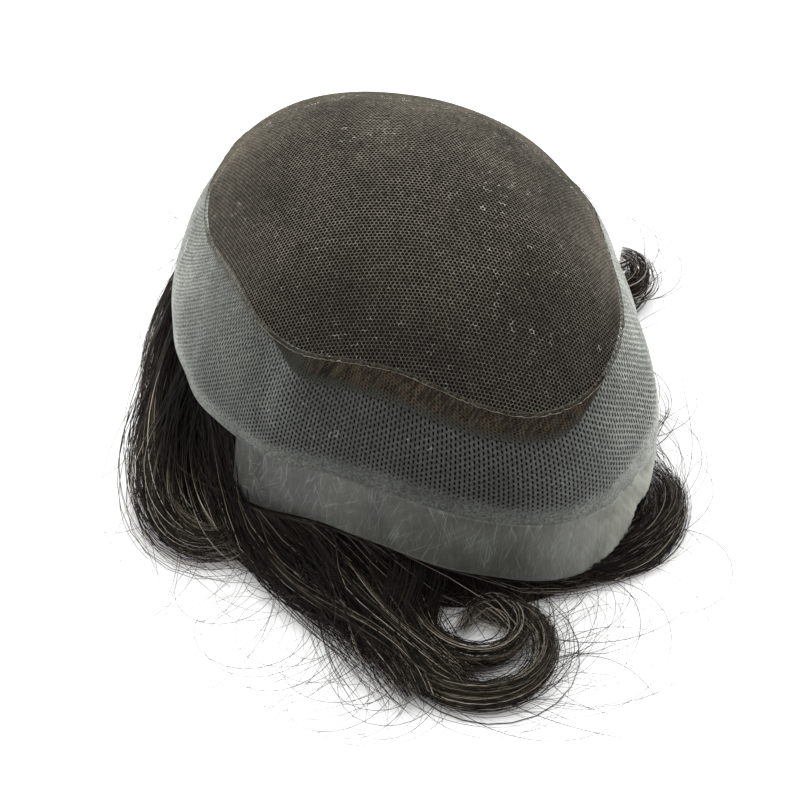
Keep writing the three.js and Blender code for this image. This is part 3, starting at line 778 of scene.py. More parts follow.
class TOUPEE_OT_lace_crown(bpy.types.Operator):
    """Knit the hexagonal net over the top of the cap, and the thread along its edge"""

    bl_idname = "toupee.lace_crown"
    bl_label = "Lace crown"

    def execute(self, context):
        sizes, colours, cap = settings_of(context)
        pitch = sizes.net_pitch
        corners = self.flat_corners(self.cell_centres(cap, pitch), pitch).reshape(-1, 2)
        # corners that cells share are one point
        _, index, inverse = np.unique(
            np.round(corners / (0.05 * pitch)), axis=0, return_index=True, return_inverse=True
        )
        flat = corners[index]
        points = np.column_stack([flat, np.zeros(len(flat))])
        mesh = mesh_of("lace_net", points, inverse.reshape(-1, 6))
        material = net_thread_material(colours)
        net = finished("lace_net", mesh, material, "lace", "lace_crown")
        # every cell is inset and its middle taken out, so that only the threads stay
        inset = {"use_individual": True, "thickness": THREAD_SHARE * pitch, "depth": 0}
        edit_all(net, (bpy.ops.mesh.inset, inset), (bpy.ops.mesh.delete, {"type": "ONLY_FACE"}))
        self.lay_on(net, cap, len(flat))
        edge = self.edge_thread(cap, material)
        return {"FINISHED"}

    def cell_centres(self, cap, pitch):
        """Centres of the cells that lie inside the lace's edge, on the flat net."""
        reach = 120 * MM
        rows, columns = int(reach / (pitch * math.sqrt(3) / 2)), int(reach / pitch)
        row, column = np.mgrid[-rows:rows + 1, -columns:columns + 1]
        across = ((column + 0.5 * (row % 2)) * pitch).ravel()
        along = (row * pitch * math.sqrt(3) / 2).ravel()
        direction, share = net_places(cap, across, along)
        inside = share < around(LACE_END, direction)
        return np.column_stack([across[inside], along[inside]])

    def flat_corners(self, centres, pitch):
        turns = np.radians(60 * np.arange(6) + 30)
        ring = np.column_stack([np.cos(turns), np.sin(turns)]) * pitch / math.sqrt(3)
        return centres[:, None, :] + ring[None, :, :]

    def lay_on(self, net, cap, ridge_count):
        """Lays the flat net over the cap; the middle of each thread stands proud of its edges."""
        mesh = net.data
        rng = np.random.default_rng(SEED)
        flat = flat_places(mesh)
        flat += rng.normal(0, NET_STRAY, flat.shape)
        direction, share = net_places(cap, flat[:, 0], flat[:, 1])
        proud = np.zeros(len(flat))
        proud[:ridge_count] = THREAD_RIDGE
        proud += NET_WAVES * np.sin(flat[:, 0] * 130 + 1.0) * np.sin(flat[:, 1] * 110 + 0.4)
        mesh.vertices.foreach_set("co", cap.surface(direction, share, proud).ravel())
        # painted shade: the net is darkest towards its near edge
        set_attribute(mesh, "shade", smooth((-flat[:, 1] - 10 * MM) / (60 * MM)))
        mesh.update()

    def edge_thread(self, cap, material):
        """The thread that binds the lace's lower edge."""
        directions = np.linspace(-180, 180, EDGE_STEPS + 1)[:-1]
        share = around(LACE_END, directions)
        rng = np.random.default_rng(SEED + 1)
        ragged = rng.normal(0, 0.001, len(directions))
        out = EDGE_OUT + rng.uniform(0, 0.15, len(directions)) * MM
        line = cap.surface(directions, share + ragged, out)
        line = np.concatenate([line, line[:2]])[None]
        radii = EDGE_RADIUS * rng.uniform(0.5, 1.5, line.shape[:2])
        points, quads, ends = tubes(line, radii, 5)
        mesh = mesh_of("lace_edge", points, quads, ends)
        return finished("lace_edge", mesh, material, "lace")


def tubes(routes, radii, sides=3):
    """Closed tubes along routes (count, steps, 3): points, side faces and end faces."""
    count, steps, _ = routes.shape
    tangents = unit(np.gradient(routes, axis=1))
    upright = np.array([0.18, -0.11, 1.0])
    side = unit(np.cross(tangents, upright))
    top = np.cross(side, tangents)
    turns = 2 * math.pi * np.arange(sides) / sides
    ring = side[:, :, None] * np.cos(turns)[:, None] + top[:, :, None] * np.sin(turns)[:, None]
    points = routes[:, :, None] + ring * radii[:, :, None, None]
    start = (np.arange(count) * steps * sides)[:, None, None]
    row = (np.arange(steps - 1) * sides)[None, :, None]
    corner = np.arange(sides)[None, None, :]
    after = (corner + 1) % sides
    base = start + row
    quads = np.stack([base + corner, base + sides + corner, base + sides + after, base + after], -1)
    first = start[:, 0] + np.arange(sides)[None]
    last = start[:, 0] + (steps - 1) * sides + np.arange(sides)[None, ::-1]
    return points.reshape(-1, 3), quads.reshape(-1, 4), np.concatenate([first, last])


def pierced(columns, rows, half_width, half_height, slant=0.0, closed=False):
    """A sheet of brick-laid cells, each with an upright hole. Gives the points in cells across and
    along, the six outer and the six inner corners of each cell, the middles, and the half cells.

    half_width and half_height give half of a hole's size in cells from the cells' middles."""
    borders = columns if closed else columns + 1
    levels = 2 * rows + 1
    outer = np.stack(np.mgrid[:borders, :levels] / np.array([1, 2])[:, None, None], -1).reshape(-1, 2)
    sides = [(column * levels, (column + 1) % borders * levels) for column in range(columns)]
    cells = []
    for column, (left, right) in enumerate(sides):
        first = np.arange(0, levels - 2, 2) + column % 2
        first = first[first + 2 < levels]
        cells.append(np.concatenate([left + first + [[0], [1], [2]], right + first + [[2], [1], [0]]]).T)
    cells = np.concatenate(cells)
    column = cells[:, 0] // levels
    middle = np.column_stack([column + 0.5, (cells[:, 1] % levels) / 2])
    wide, tall = half_width(middle), half_height(middle)
    corner_x = np.array([-0.6, -1.0, -0.6, 0.6, 1.0, 0.6])
    corner_y = np.array([-1.0, 0.0, 1.0, 1.0, 0.0, -1.0])
    inner = np.stack([
        middle[:, :1] + corner_x * wide[:, None] + slant * corner_y * tall[:, None],
        middle[:, 1:] + corner_y * tall[:, None],
    ], -1).reshape(-1, 2)
    rings = len(outer) + np.arange(len(inner)).reshape(-1, 6)
    flat = np.concatenate([outer, inner])
    # half cells at the two ends of every other column
    ends = [
        [left + low, left + low + 1, right + low + 1, right + low]
        for left, right in sides[1::2] for low in (0, levels - 2)
    ]
    return flat, cells, rings, middle, np.array(ends)


def pierced_mesh(name, points, cells, rings, ends, is_open):
    """The mesh of a pierced sheet; a cell whose hole isn't open gets its middle face."""
    after_cells, after_rings = np.roll(cells, -1, axis=1), np.roll(rings, -1, axis=1)
    sides = np.stack([cells, after_cells, after_rings, rings], -1).reshape(-1, 4)
    return mesh_of(name, points, sides, ends, rings[~is_open])


class TOUPEE_OT_gauze_band(bpy.types.Operator):
    """Make the coated gauze band between the lace and the rim"""

    bl_idname = "toupee.gauze_band"
    bl_label = "Gauze band"

    def execute(self, context):
        sizes, colours, cap = settings_of(context)
        # an even number of columns, so that the staggered rows meet
        columns, rows = 2 * round(BAND_LENGTH / 2 / sizes.gauze_pitch), BAND_ROWS

        def shut(middle):
            """How far a hole is closed by the coat."""
            direction = middle[:, 0] * 360 / columns - 180
            along = middle[:, 1] / rows
            open_to = 0.96 - 0.12 * near_to(direction, -85, 42) - 0.3 * near_to(direction, -12, 30)
            return 1 - smooth((open_to - along) / 0.14)

        flat, cells, rings, middle, ends = pierced(
            columns, rows, lambda middle: 0.21 * (1 - 0.6 * shut(middle)),
            lambda middle: 0.31 * (1 - 0.7 * shut(middle)), closed=True,
        )
        direction = flat[:, 0] * 360 / columns - 180
        along = flat[:, 1] / rows
        top = around(LACE_END, direction) - BAND_OVERLAP
        share = top + (1 - top) * along
        inner = np.arange(len(flat)) >= rings[0, 0]
        out = np.where(inner, -DISH, 0.0) + cap.puckers(direction, along)
        closing = shut(middle)
        points = cap.surface(direction, share, out)
        mesh = pierced_mesh("coated_band", points, cells, rings, ends, closing < 0.75)
        # painted light and shade by direction round the band, kept as its shade attribute
        set_attribute(mesh, "shade", self.shade(direction, along))
        # painted shade on the dished rims of the open holes, fainter in those the coat closes
        pit_shade = np.zeros(len(flat))
        pit_shade[rings] = (0.6 * (1 - closing))[:, None]
        set_attribute(mesh, "pit_shade", pit_shade)
        band = finished("coated_band", mesh, gauze_material(colours), "coated_gauze", "gauze_band")
        face_outward(band)
        return {"FINISHED"}

    def shade(self, direction, along):
        """Painted light and shade: palest at the left and right ends, where light falls, and darkest in
        front.
        """
        left, near_left = near_to(direction, 172, 34), near_to(direction, -150, 30)
        right, far = near_to(direction, -6, 32), near_to(direction, 90, 70)
        gather = near_to(direction, -117, 4) * smooth(1.7 - 2 * along)
        lower = smooth(along * 3 - 2)
        pale = 0.03 + 0.8 * left + 0.2 * near_left + 1.2 * right + 0.58 * far
        return np.clip(pale + 0.14 * gather + (0.08 + 0.2 * right) * lower, 0, 1)


class TOUPEE_OT_hem(bpy.types.Operator):
    """Make the brown hem tape under the lace's near edge"""

    bl_idname = "toupee.hem"
    bl_label = "Hem tape"

    def execute(self, context):
        sizes, colours, cap = settings_of(context)
        start, end = HEM[0][0], HEM[0][-1]
        columns, rows = TAPE_COLUMNS, TAPE_ROWS
        flat, cells, rings, _, ends = pierced(
            columns, rows, lambda middle: np.full(len(middle), 0.2),
            lambda middle: np.full(len(middle), 0.24), slant=0.5,
        )
        along = flat[:, 1] / rows
        direction = start + (end - start) * flat[:, 0] / columns
        lace = around(LACE_END, direction)
        step = 0.01
        drop = np.linalg.norm(cap.point(direction, lace + step) - cap.point(direction, lace), axis=-1)
        height = sizes.hem_height * along_rows(HEM, direction) * step / drop
        share = lace - TAPE_OVERLAP + (height + TAPE_OVERLAP / 2) * along
        inner = np.arange(len(flat)) >= rings[0, 0]
        bulge = cap.puckers(direction, (share - lace) / (1 - lace))
        points = cap.surface(direction, share, TAPE_OUT - np.where(inner, DISH, 0.0) + bulge)
        mesh = pierced_mesh("hem_tape", points, cells, rings, ends, np.ones(len(cells), bool))
        # the tape's lower edge and its left end are sunk in the coat and look grey
        left = smooth((-112 - direction) / 6) + 0.8 * near_to(direction, -113, 3)
        lower = smooth((along - 0.66) / 0.2)
        set_attribute(mesh, "shade", np.clip(0.75 * left + 0.85 * lower, 0, 1))
        # painted shade on the dished rims of the holes
        set_attribute(mesh, "pit_shade", np.where(inner, 0.7, 0.0))
        tape = finished("hem_tape", mesh, tape_material(colours), "hem_tape", "lace_hem")
        face_outward(tape)
        return {"FINISHED"}


class TOUPEE_OT_clear_strip(bpy.types.Operator):
    """Hang the clear film strip from the near rim"""

    bl_idname = "toupee.clear_strip"
    bl_label = "Clear strip"

    def execute(self, context):
        sizes, colours, cap = settings_of(context)
        bpy.ops.object.select_all(action="DESELECT")
        bpy.ops.mesh.primitive_grid_add(x_subdivisions=FILM_COLUMNS, y_subdivisions=FILM_ROWS, size=1)
        sheet = bpy.context.active_object
        mesh = sheet.data
        flat = flat_places(mesh) + 0.5
        start, end = STRIP[0][0], STRIP[0][-1]
        direction = start + (end - start) * flat[:, 0]
        fall = (cap.drop(direction) + FILM_OVERLAP) * flat[:, 1] - FILM_OVERLAP
        middle, breadth, height = FILM_PLEATS
        slanting = np.sin((direction * 1.4 - 700 * fall) * 2.2)
        pleats = height * slanting * near_to(direction, middle, breadth)
        out = cap.puckers(direction, 1 + flat[:, 1]) - FILM_BEHIND + pleats
        mesh.vertices.foreach_set("co", cap.hanging(direction, fall, out).ravel())
        # painted light and shade: paler at the right end, darker at the left; the lower edge is paler
        # too
        left, right = near_to(direction, -122, 18), near_to(direction, -30, 17)
        edge = smooth((flat[:, 1] - 0.95) / 0.05)
        set_attribute(mesh, "shade", np.clip(0.12 - 0.07 * left + right + 0.5 * edge, 0, 1))
        bpy.data.objects.remove(sheet)
        strip = finished("film_strip", mesh, film_material(colours), "clear_film", "clear_strip")
        face_outward(strip)
        modifier = strip.modifiers.new("film", "SOLIDIFY")
        modifier.thickness = FILM_THICKNESS
        modifier.offset = 0
        bpy.ops.object.modifier_apply(modifier=modifier.name)
        return {"FINISHED"}


class TOUPEE_OT_hair_lining(bpy.types.Operator):
    """Line the cap with close hair that flares out below the rim down to the table"""

    bl_idname = "toupee.hair_lining"
    bl_label = "Hair lining"

    def execute(self, context):
        sizes, colours, cap = settings_of(context)
        columns = LINING_COLUMNS
        directions = -180 + 360 * np.arange(columns) / columns
        depths = (BED_INSET, BED_INSET + LINING_THICKNESS)
        skins = [self.skin(cap, directions, depth, sizes) for depth in depths]
        rows = len(skins[0])
        points = np.concatenate([skin.reshape(-1, 3) for skin in skins])
        at = np.arange(2 * rows * columns).reshape(2, rows, columns)
        after = np.roll(at, -1, axis=2)
        outer = np.stack([at[0, :-1], at[0, 1:], after[0, 1:], after[0, :-1]], -1).reshape(-1, 4)
        inner = np.stack([at[1, :-1], after[1, :-1], after[1, 1:], at[1, 1:]], -1).reshape(-1, 4)
        foot = np.stack([at[0, -1], at[1, -1], after[1, -1], after[0, -1]], -1)
        tops = np.stack([at[0, 0], after[0, 0], after[1, 0], at[1, 0]], -1)
        mesh = mesh_of("hair_lining", points, outer, inner, foot, tops)
        self.unwrap(mesh, rows, columns)
        lining = finished("hair_lining", mesh, lining_material(colours), "hair", "hair")
        edit_all(lining, (bpy.ops.mesh.remove_doubles, {"threshold": 0.01 * MM}))
        return {"FINISHED"}

    def skin(self, cap, directions, inset, sizes):
        """One face of the lining, from the top of the cap down to the table."""
        shares = np.linspace(0, 1, CROWN_ROWS)[:, None]
        crown = cap.surface(*np.broadcast_arrays(directions, shares), -inset)
        edge = np.minimum.reduce([cap.lower_edge(directions + turn)[:, 2] for turn in (-5, 0, 5)])
        foot = crown[-1].copy()
        foot[:, 2] = np.minimum(foot[:, 2], edge - SKIRT_BELOW)
        outward = unit(cap.normal(directions, 1.0) * [1, 1, 0])
        falls = np.linspace(0, 1, SKIRT_ROWS)[:, None]
        flare = np.minimum(sizes.skirt_flare, foot[:, 2]) * flare_share(directions) * smooth(falls)
        skirt = foot[None] + outward[None] * flare[..., None]
        skirt[..., 2] = foot[None, :, 2] * (1 - falls)
        return np.concatenate([crown, skirt])

    def unwrap(self, mesh, rows, columns):
        """Lays the way round along U and the way down along V, with a seam at the left."""
        layer = mesh.uv_layers.new(name="lining")
        loops = np.zeros(len(mesh.loops), np.int32)
        mesh.loops.foreach_get("vertex_index", loops)
        column = loops % columns
        row = (loops // columns) % rows
        faces = column.reshape(-1, 4)
        seam = faces.max(axis=1) - faces.min(axis=1) > columns / 2
        faces = np.where(seam[:, None] & (faces == 0), columns, faces)
        places = np.column_stack([faces.ravel() / columns, row / rows])
        layer.data.foreach_set("uv", places.astype(np.float32).ravel())


def lock_stations(cap, lock, sizes):
    """Places along the middle of a lock, and the way that it faces at each."""
    thickness = lock.depth * sizes.lock_depth
    foot = cap.surface(float(lock.root), 1.0, -(BED_INSET + thickness / 2))
    edges = cap.lower_edge(lock.root + np.array(LOOK_AHEAD, float))[:, 2]
    top = min(foot[2], edges.min() - SEAM_GAP - thickness / 2)
    ends = (np.arange(LOCK_STEPS + 1) / LOCK_STEPS) ** STEP_CROWDING

    def faced(share):
        return np.radians(lock.heading + lock.bend * share + lock.curl * share ** CURL_POWER)

    facing = faced((ends[1:] + ends[:-1]) / 2)
    advance = np.diff(ends) * lock.length * sizes.hair_length
    plan = np.zeros((LOCK_STEPS + 1, 3))
    plan[1:, 0] = np.cumsum(np.cos(facing) * advance)
    plan[1:, 1] = np.cumsum(np.sin(facing) * advance)
    plan[:, :2] += foot[:2]
    plan[:, 2] = top + (lock.rest * thickness - top) * smooth(ends / lock.drop)
    return plan, faced(ends)


def through(stations, places):
    """Smooth values through stations at fractional indices."""
    count = len(stations)
    before, after = 2 * stations[:1] - stations[1:2], 2 * stations[-1:] - stations[-2:-1]
    padded = np.concatenate([before, stations, after])
    low = np.clip(np.floor(places).astype(int), 0, count - 2)
    t = places - low
    if stations.ndim > 1:
        t = t[..., None]
    return between(*(padded[low + step] for step in range(4)), t)


def fullness(share):
    swell = 0.8 + 0.2 * smooth(share * 3)
    return swell * (1 - 0.78 * smooth((share - 0.35) / 0.65))


def tones(rng, count, lighter):
    """Tone of each hair, from the dark mass, 0, to the palest single hairs, 1; a share is lighter,
    partly real paler hairs and partly painted shine.
    """
    tone = DARK_TONES * rng.beta(1.1, 3.2, count)
    draw = rng.random(count)
    tone = np.where(draw < lighter, rng.uniform(*LIGHTER_TONES, count), tone)
    return np.where(draw < PALEST_SHARE * lighter, rng.uniform(*PALEST_TONES, count), tone)


def strands_of(cap, lock, sizes, rng, count, spread, inward, loose_share):
    """Routes of the strands of one lock, in clumps that wander together, all with the same steps."""
    steps = 10 + int((abs(lock.bend) + abs(lock.curl)) / 28)
    stations, facing = lock_stations(cap, lock, sizes)
    clumps = max(count // CLUMP_STRANDS, 4)
    clump = rng.integers(0, clumps, count)
    start, end = rng.uniform(0, 0.04, count), 1.02 - 0.45 * rng.uniform(0, 1, count) ** 2.2
    share = np.clip(start[:, None] + (end - start)[:, None] * np.linspace(0, 1, steps), 0, 1)
    place = share * LOCK_STEPS
    middle = through(stations, place)
    turned = through(facing, place)
    before = through(stations, np.clip(place - 0.05, 0, LOCK_STEPS))
    ahead = through(stations, np.clip(place + 0.05, 0, LOCK_STEPS)) - before
    side = np.stack([-np.sin(turned), np.cos(turned), np.zeros_like(turned)], -1)
    top = unit(np.cross(unit(ahead), side))
    full = fullness(share)
    turn = rng.uniform(0, 2 * math.pi, clumps)
    reach = np.minimum(rng.rayleigh(CLUMP_SPREAD, clumps), CLUMP_LIMIT)
    across = (reach * np.cos(turn))[clump] + rng.normal(0, HAIR_SPREAD, count)
    over = (reach * np.sin(turn))[clump] + rng.normal(0, HAIR_SPREAD, count)
    # clumps sway across the lock and cross each other; each hair strays a little from its clump
    rate, phase = rng.uniform(0.5, 1.3, clumps)[clump], rng.uniform(0, 1, clumps)[clump]
    sway = rng.uniform(0.05, 0.25, clumps)[clump][:, None] * np.sin(
        2 * math.pi * (share * rate[:, None] + phase[:, None])
    )
    rate, phase = rng.uniform(1.0, 2.2, count)[:, None], rng.uniform(0, 1, count)[:, None]
    stray = rng.normal(0, HAIR_SPREAD, count)[:, None] * share ** 2
    stray = stray + 0.03 * np.sin(2 * math.pi * (share * rate + phase))
    # loose hairs leave the lock and run beside it in wider or closer arcs
    loose = rng.random(count) < loose_share
    away = np.where(loose, rng.normal(inward, LOOSE_SPREAD, count), 0)[:, None] * smooth(share * 1.3)
    half_width = lock.width * sizes.lock_width / 2 * spread
    half_depth = lock.depth * sizes.lock_depth / 2
    aside = (across[:, None] + sway + stray) * (0.45 + 0.55 * full) * half_width + away * half_width
    above = (over[:, None] + 0.5 * sway) * np.sqrt(full) * half_depth
    routes = middle + side * aside[..., None] + top * above[..., None]
    return rooted(cap, routes, share, lock.root, lock.width * sizes.lock_width, rng)


def rooted(cap, routes, share, root, width, rng):
    """Draws the start of each route to its root under the rim, and keeps it off walls and table."""
    count = len(routes)
    rim = np.hypot(*cap.point(float(root), 1.0)[:2])
    spread = np.degrees(width / 2 / rim)
    direction = root + rng.uniform(-spread, spread, count)
    start = cap.surface(direction, rng.uniform(0.93, 0.99, count), -rng.uniform(2.2, 5.5, count) * MM)
    pull = start - routes[:, 0]
    routes[..., :2] += pull[:, None, :2] * (1 - smooth(share / 0.34))[..., None]
    routes[..., 2] += pull[:, None, 2] * (1 - smooth(share / 0.07))
    routes = cap.duck(routes)
    height = routes[..., 2]
    for _ in range(2):
        height[:, 1:-1] = 0.25 * height[:, :-2] + 0.5 * height[:, 1:-1] + 0.25 * height[:, 2:]
    lowest = rng.uniform(0.2, 1.2, count)[:, None] * MM
    routes[..., 2] = np.maximum(routes[..., 2], lowest)
    return routes


def near_enough(routes):
    """Leaves out the hairs that would stray too far from the hairpiece."""
    low, high = np.array(CAD_LOW)[:2] - HAIR_ROOM, np.array(CAD_HIGH)[:2] + HAIR_ROOM
    return routes[((routes[..., :2] > low) & (routes[..., :2] < high)).all(axis=(1, 2))]


def from_middle(routes, place):
    """How far points lie from the middle of an oval, 1 at its edge."""
    x, y, half_width, half_length = place
    return np.hypot((routes[..., 0] - x) / half_width, (routes[..., 1] - y) / half_length)


def strand_piece(name, groups, radius, rng, material, shadow=0.35, lighter=0.3, tone=None):
    """One piece from groups of routes; the strands of a group have the same steps.

    A strand gets painted shade over the shadow's share of its length from its root and in the left
    curl's cavity, a little painted light towards its tip, and is finer if lighter."""
    points, sides, ends, shades = [], [], [], []
    start = 0
    for routes in groups:
        routes = near_enough(routes)
        for *gap, crossing_share in GAPS:
            crossing = from_middle(routes, gap).min(axis=1) < 1
            routes = routes[~crossing | (rng.random(len(routes)) < crossing_share)]
        count, steps = routes.shape[:2]
        own = tones(rng, count, lighter) if tone is None else rng.uniform(*tone, count)
        fine = np.where(own > LIGHTER_TONES[0], LIGHTER_RADIUS, 1)
        radii = tapered(rng, count, steps, radius) * fine[:, None]
        group_points, group_sides, group_ends = tubes(routes, radii)
        points.append(group_points)
        sides.append(group_sides + start)
        ends.append(group_ends + start)
        start += len(group_points)
        along = np.linspace(0, 1, steps)[None, :]
        # painted shade towards the root and painted light towards the tip
        lit = (0.25 + 0.75 * smooth(along / shadow)) * (1 + 0.25 * smooth(2 * along - 1))
        # painted shade in the deep middle of the left curl
        lit = lit * (1 - 0.93 * np.exp(-(from_middle(routes, CAVITY) ** 4)))
        shades.append(np.repeat((own[:, None] * lit).ravel(), 3))
    mesh = mesh_of(name, np.concatenate(points), np.concatenate(sides), np.concatenate(ends))
    set_attribute(mesh, "tone", np.concatenate(shades))
    return finished(name, mesh, material, "hair")


def hair_of(context):
    """The one hair material that every strand shares."""
    return bpy.data.materials.get("human_hair") or hair_material(context.scene.toupee_colours)


def tapered(rng, count, steps, radius):
    along = np.linspace(0, 1, steps)
    taper = 1 - 0.72 * along ** 2.5
    return radius * rng.uniform(0.65, 1.15, count)[:, None] * taper


def make_locks(context, *names):
    """Makes pieces of locks, with as many strands as the length and width of each lock ask for."""
    sizes, _, cap = settings_of(context)
    for name in names:
        locks, strands, seed, spread, inward, loose_share, lighter = LOCK_PIECES[name]
        rng = np.random.default_rng(SEED + seed)
        groups = []
        for lock in locks:
            count = int(strands * lock.length * lock.width)
            groups.append(strands_of(cap, lock, sizes, rng, count, spread, inward, loose_share))
        strand_piece(name, groups, sizes.strand_radius, rng, hair_of(context), lighter=lighter)


class TOUPEE_OT_left_curl(bpy.types.Operator):
    """Sweep the left hair forward into its round curl"""

    bl_idname = "toupee.left_curl"
    bl_label = "Left curl"

    def execute(self, context):
        make_locks(context, "left_curl")
        return {"FINISHED"}


class TOUPEE_OT_fringe(bpy.types.Operator):
    """Lay the fringe out from under the clear strip"""

    bl_idname = "toupee.fringe"
    bl_label = "Fringe"

    def execute(self, context):
        make_locks(context, "fringe")
        return {"FINISHED"}


class TOUPEE_OT_front_ring(bpy.types.Operator):
    """Curl the front hair round into an open ring"""

    bl_idname = "toupee.front_ring"
    bl_label = "Front ring"

    def execute(self, context):
        make_locks(context, "front_ring")
        return {"FINISHED"}


class TOUPEE_OT_right_curl(bpy.types.Operator):
    """Run the right hair along the rim and round the corner"""

    bl_idname = "toupee.right_curl"
    bl_label = "Right curl"

    def execute(self, context):
        make_locks(context, "right_curl", "right_wisps")
        return {"FINISHED"}


class TOUPEE_OT_far_locks(bpy.types.Operator):
    """Lay the plain locks under the far rim"""

    bl_idname = "toupee.far_locks"
    bl_label = "Far locks"

    def execute(self, context):
        make_locks(context, "far_locks", "tuft")
        return {"FINISHED"}


class TOUPEE_OT_rim_strands(bpy.types.Operator):
    """Hang short strands from the rim all round, down to the table"""

    bl_idname = "toupee.rim_strands"
    bl_label = "Rim strands"

    def execute(self, context):
        sizes, _, cap = settings_of(context)
        rng = np.random.default_rng(SEED + 6)
        start = rng.uniform(-180, 180, RIM_STRANDS)
        start = start[rng.random(RIM_STRANDS) < flare_share(start) + 0.1]
        count = len(start)
        share = np.linspace(0, 1, RIM_STEPS)[None]
        sweep = rng.uniform(20, 60, count)[:, None]
        direction = start[:, None] + sweep * share ** 1.3
        inset = rng.uniform(2.0, 4.5, count)[:, None] * MM
        flare = sizes.skirt_flare * flare_share(direction) + rng.uniform(-4, 2, count)[:, None] * MM
        reach = -inset + (flare + inset) * smooth(share * 1.05)
        rim = cap.surface(direction, 1.0, 0.0)
        outward = unit(cap.normal(direction, 1.0) * [1, 1, 0])
        routes = rim + outward * reach[..., None]
        low = rng.uniform(0.3, 2.5, count)[:, None] * MM
        routes[..., 2] = low + (rim[..., 2] - low) * (1 - smooth(share * 1.02)) ** 0.8
        routes = cap.duck(routes)
        routes[..., 2] = np.maximum(routes[..., 2], LOWEST_HAIR)
        strand_piece("rim_strands", [routes], sizes.strand_radius, rng, hair_of(context), shadow=0.9)
        return {"FINISHED"}


class TOUPEE_OT_flyaways(bpy.types.Operator):
    """Let single hairs stray in wide arcs over the table"""

    bl_idname = "toupee.flyaways"
    bl_label = "Flyaways"

    def execute(self, context):
        sizes, _, cap = settings_of(context)
        rng = np.random.default_rng(SEED + 7)
        share = np.linspace(0, 1, FLYAWAY_STEPS)[None]
        routes = []
        for lock in LEFT_LOCKS + FRINGE_LOCKS + RING_LOCKS + RIGHT_LOCKS + TUFT_LOCKS + FAR_LOCKS:
            count = max(int(FLYAWAYS_PER_LOCK * lock.length), FEWEST_FLYAWAYS)
            stations, facing = lock_stations(cap, lock, sizes)
            place = rng.uniform(0.15, 0.95, count) * LOCK_STEPS
            begin = through(stations, place)
            heading = through(facing, place) + rng.normal(0, 0.35, count)
            reach = rng.uniform(*FLYAWAY_LENGTHS, count) * MM
            # most bend the way that their lock does
            side = np.where(rng.random(count) < 0.7, np.sign(lock.bend + lock.curl + 1), -1)
            bend = side * np.minimum(reach / (rng.uniform(*FLYAWAY_ARCS, count) * MM), 5.5)
            twist = rng.normal(0, 0.9, count)
            turned = heading[:, None] + bend[:, None] * share + twist[:, None] * share ** 2
            step = (reach / (FLYAWAY_STEPS - 1))[:, None]
            across = np.cumsum(np.cos(turned) * step, axis=1)
            along = np.cumsum(np.sin(turned) * step, axis=1)
            rise = rng.uniform(*FLYAWAY_RISES, count)[:, None] * MM * np.sin(math.pi * share)
            height = begin[:, 2:] * (1 - smooth(share * 1.3)) + rise + 0.4 * MM
            routes.append(np.stack([begin[:, :1] + across, begin[:, 1:2] + along, height], -1))
        routes = cap.duck(np.concatenate(routes))
        routes[..., 2] = np.maximum(routes[..., 2], LOWEST_HAIR)
        radius = 0.66 * sizes.strand_radius
        strand_piece(
            "flyaways", [routes], radius, rng, hair_of(context), shadow=0.1, tone=(0.15, 0.6)
        )
        return {"FINISHED"}


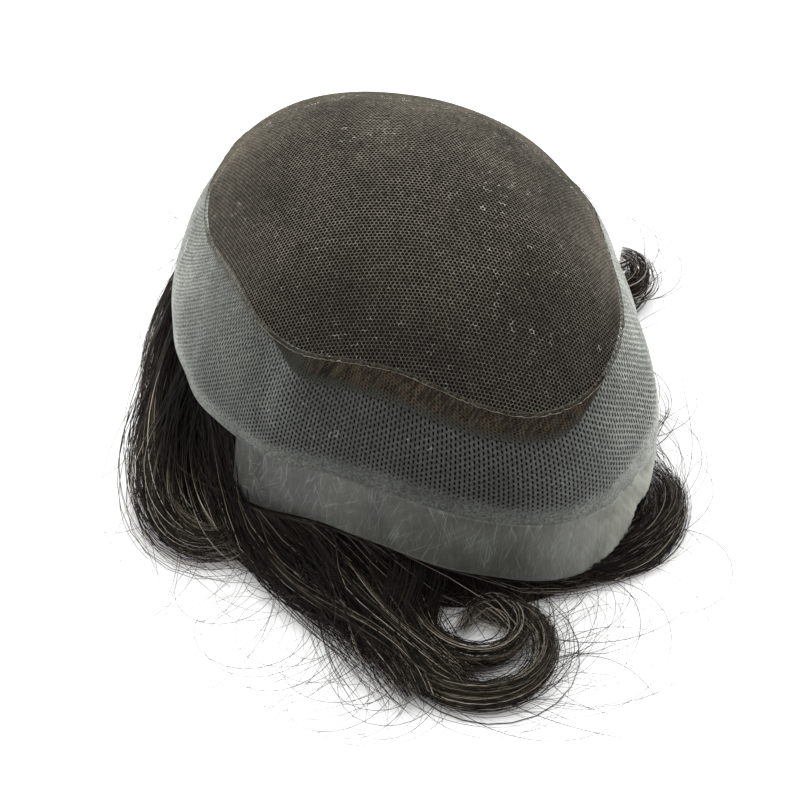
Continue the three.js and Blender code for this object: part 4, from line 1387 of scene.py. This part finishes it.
class TOUPEE_OT_stage(bpy.types.Operator):
    """Set the white table, the soft lights and the camera"""

    bl_idname = "toupee.stage"
    bl_label = "Stage"

    def execute(self, context):
        scene = context.scene
        self.table(scene)
        self.lights(scene)
        self.camera(scene)
        scene.view_settings.view_transform = "Standard"
        return {"FINISHED"}

    def table(self, scene):
        bpy.ops.object.select_all(action="DESELECT")
        bpy.ops.mesh.primitive_plane_add(size=TABLE_SIZE)
        floor = bpy.context.active_object
        floor.name = "table"
        # white paper, matte and all but even
        material, tree = new_material("white_paper")
        where = add_node(tree, "TexCoord", "Object")
        white = scene.toupee_colours.table
        grain = pattern(tree, where, 700, (0.3, linear("#f4f4f4")), (0.7, white), 3)
        shade_with(tree, grain, 0.9, 0.5)
        floor.data.materials.append(material)

    def lights(self, scene):
        world = bpy.data.worlds.new("white_room")
        world.use_nodes = True
        background = world.node_tree.nodes["Background"]
        background.inputs["Color"].default_value = (1, 1, 1, 1)
        background.inputs["Strength"].default_value = ROOM_LIGHT
        scene.world = world
        for name, place, size, power in SOFTBOXES:
            bpy.ops.object.light_add(type="AREA", location=place)
            light = bpy.context.active_object
            light.name = name
            light.data.size = size
            light.data.energy = power
            light.rotation_mode = "QUATERNION"
            light.rotation_quaternion = (Vector(place) - Vector(LIGHTS_AIM)).to_track_quat("Z", "Y")

    def camera(self, scene):
        azimuth, elevation = math.radians(CAMERA_AZIMUTH), math.radians(CAMERA_ELEVATION)
        level = math.cos(elevation)
        back = Vector((math.sin(azimuth) * level, -math.cos(azimuth) * level, math.sin(elevation)))
        right = Vector((math.cos(azimuth), math.sin(azimuth), 0))
        up = back.cross(right)
        bpy.ops.object.camera_add()
        camera = bpy.context.active_object
        place = Vector(Cap(scene.toupee_sizes).place)
        camera.location = place + back * CAMERA_DISTANCE + right * CAMERA_RIGHT + up * CAMERA_UP
        camera.rotation_mode = "QUATERNION"
        camera.rotation_quaternion = back.to_track_quat("Z", "Y")
        camera.data.lens = CAMERA_LENS
        camera.data.sensor_width = CAMERA_SENSOR
        camera.data.clip_start = 0.01
        scene.camera = camera


class TOUPEE_PT_panel(bpy.types.Panel):
    """Lists the pieces of the hairpiece."""

    bl_label = "Toupee"
    bl_space_type = "VIEW_3D"
    bl_region_type = "UI"
    bl_category = "Toupee"

    def draw(self, context):
        column = self.layout.column()
        for operator in OPERATORS:
            column.operator(operator.bl_idname)


OPERATORS = (
    TOUPEE_OT_stage,
    TOUPEE_OT_hair_lining,
    TOUPEE_OT_gauze_band,
    TOUPEE_OT_hem,
    TOUPEE_OT_clear_strip,
    TOUPEE_OT_lace_crown,
    TOUPEE_OT_left_curl,
    TOUPEE_OT_fringe,
    TOUPEE_OT_front_ring,
    TOUPEE_OT_right_curl,
    TOUPEE_OT_far_locks,
    TOUPEE_OT_rim_strands,
    TOUPEE_OT_flyaways,
)
CLASSES = (ToupeeSizes, ToupeeColours, *OPERATORS, TOUPEE_PT_panel)


def register():
    for cls in CLASSES:
        bpy.utils.register_class(cls)
    bpy.types.Scene.toupee_sizes = bpy.props.PointerProperty(type=ToupeeSizes)
    bpy.types.Scene.toupee_colours = bpy.props.PointerProperty(type=ToupeeColours)


def unregister():
    del bpy.types.Scene.toupee_colours
    del bpy.types.Scene.toupee_sizes
    for cls in reversed(CLASSES):
        bpy.utils.unregister_class(cls)


def main():
    register()
    for operator in OPERATORS:
        group, name = operator.bl_idname.split(".")
        getattr(getattr(bpy.ops, group), name)()


if __name__ == "__main__":
    main()
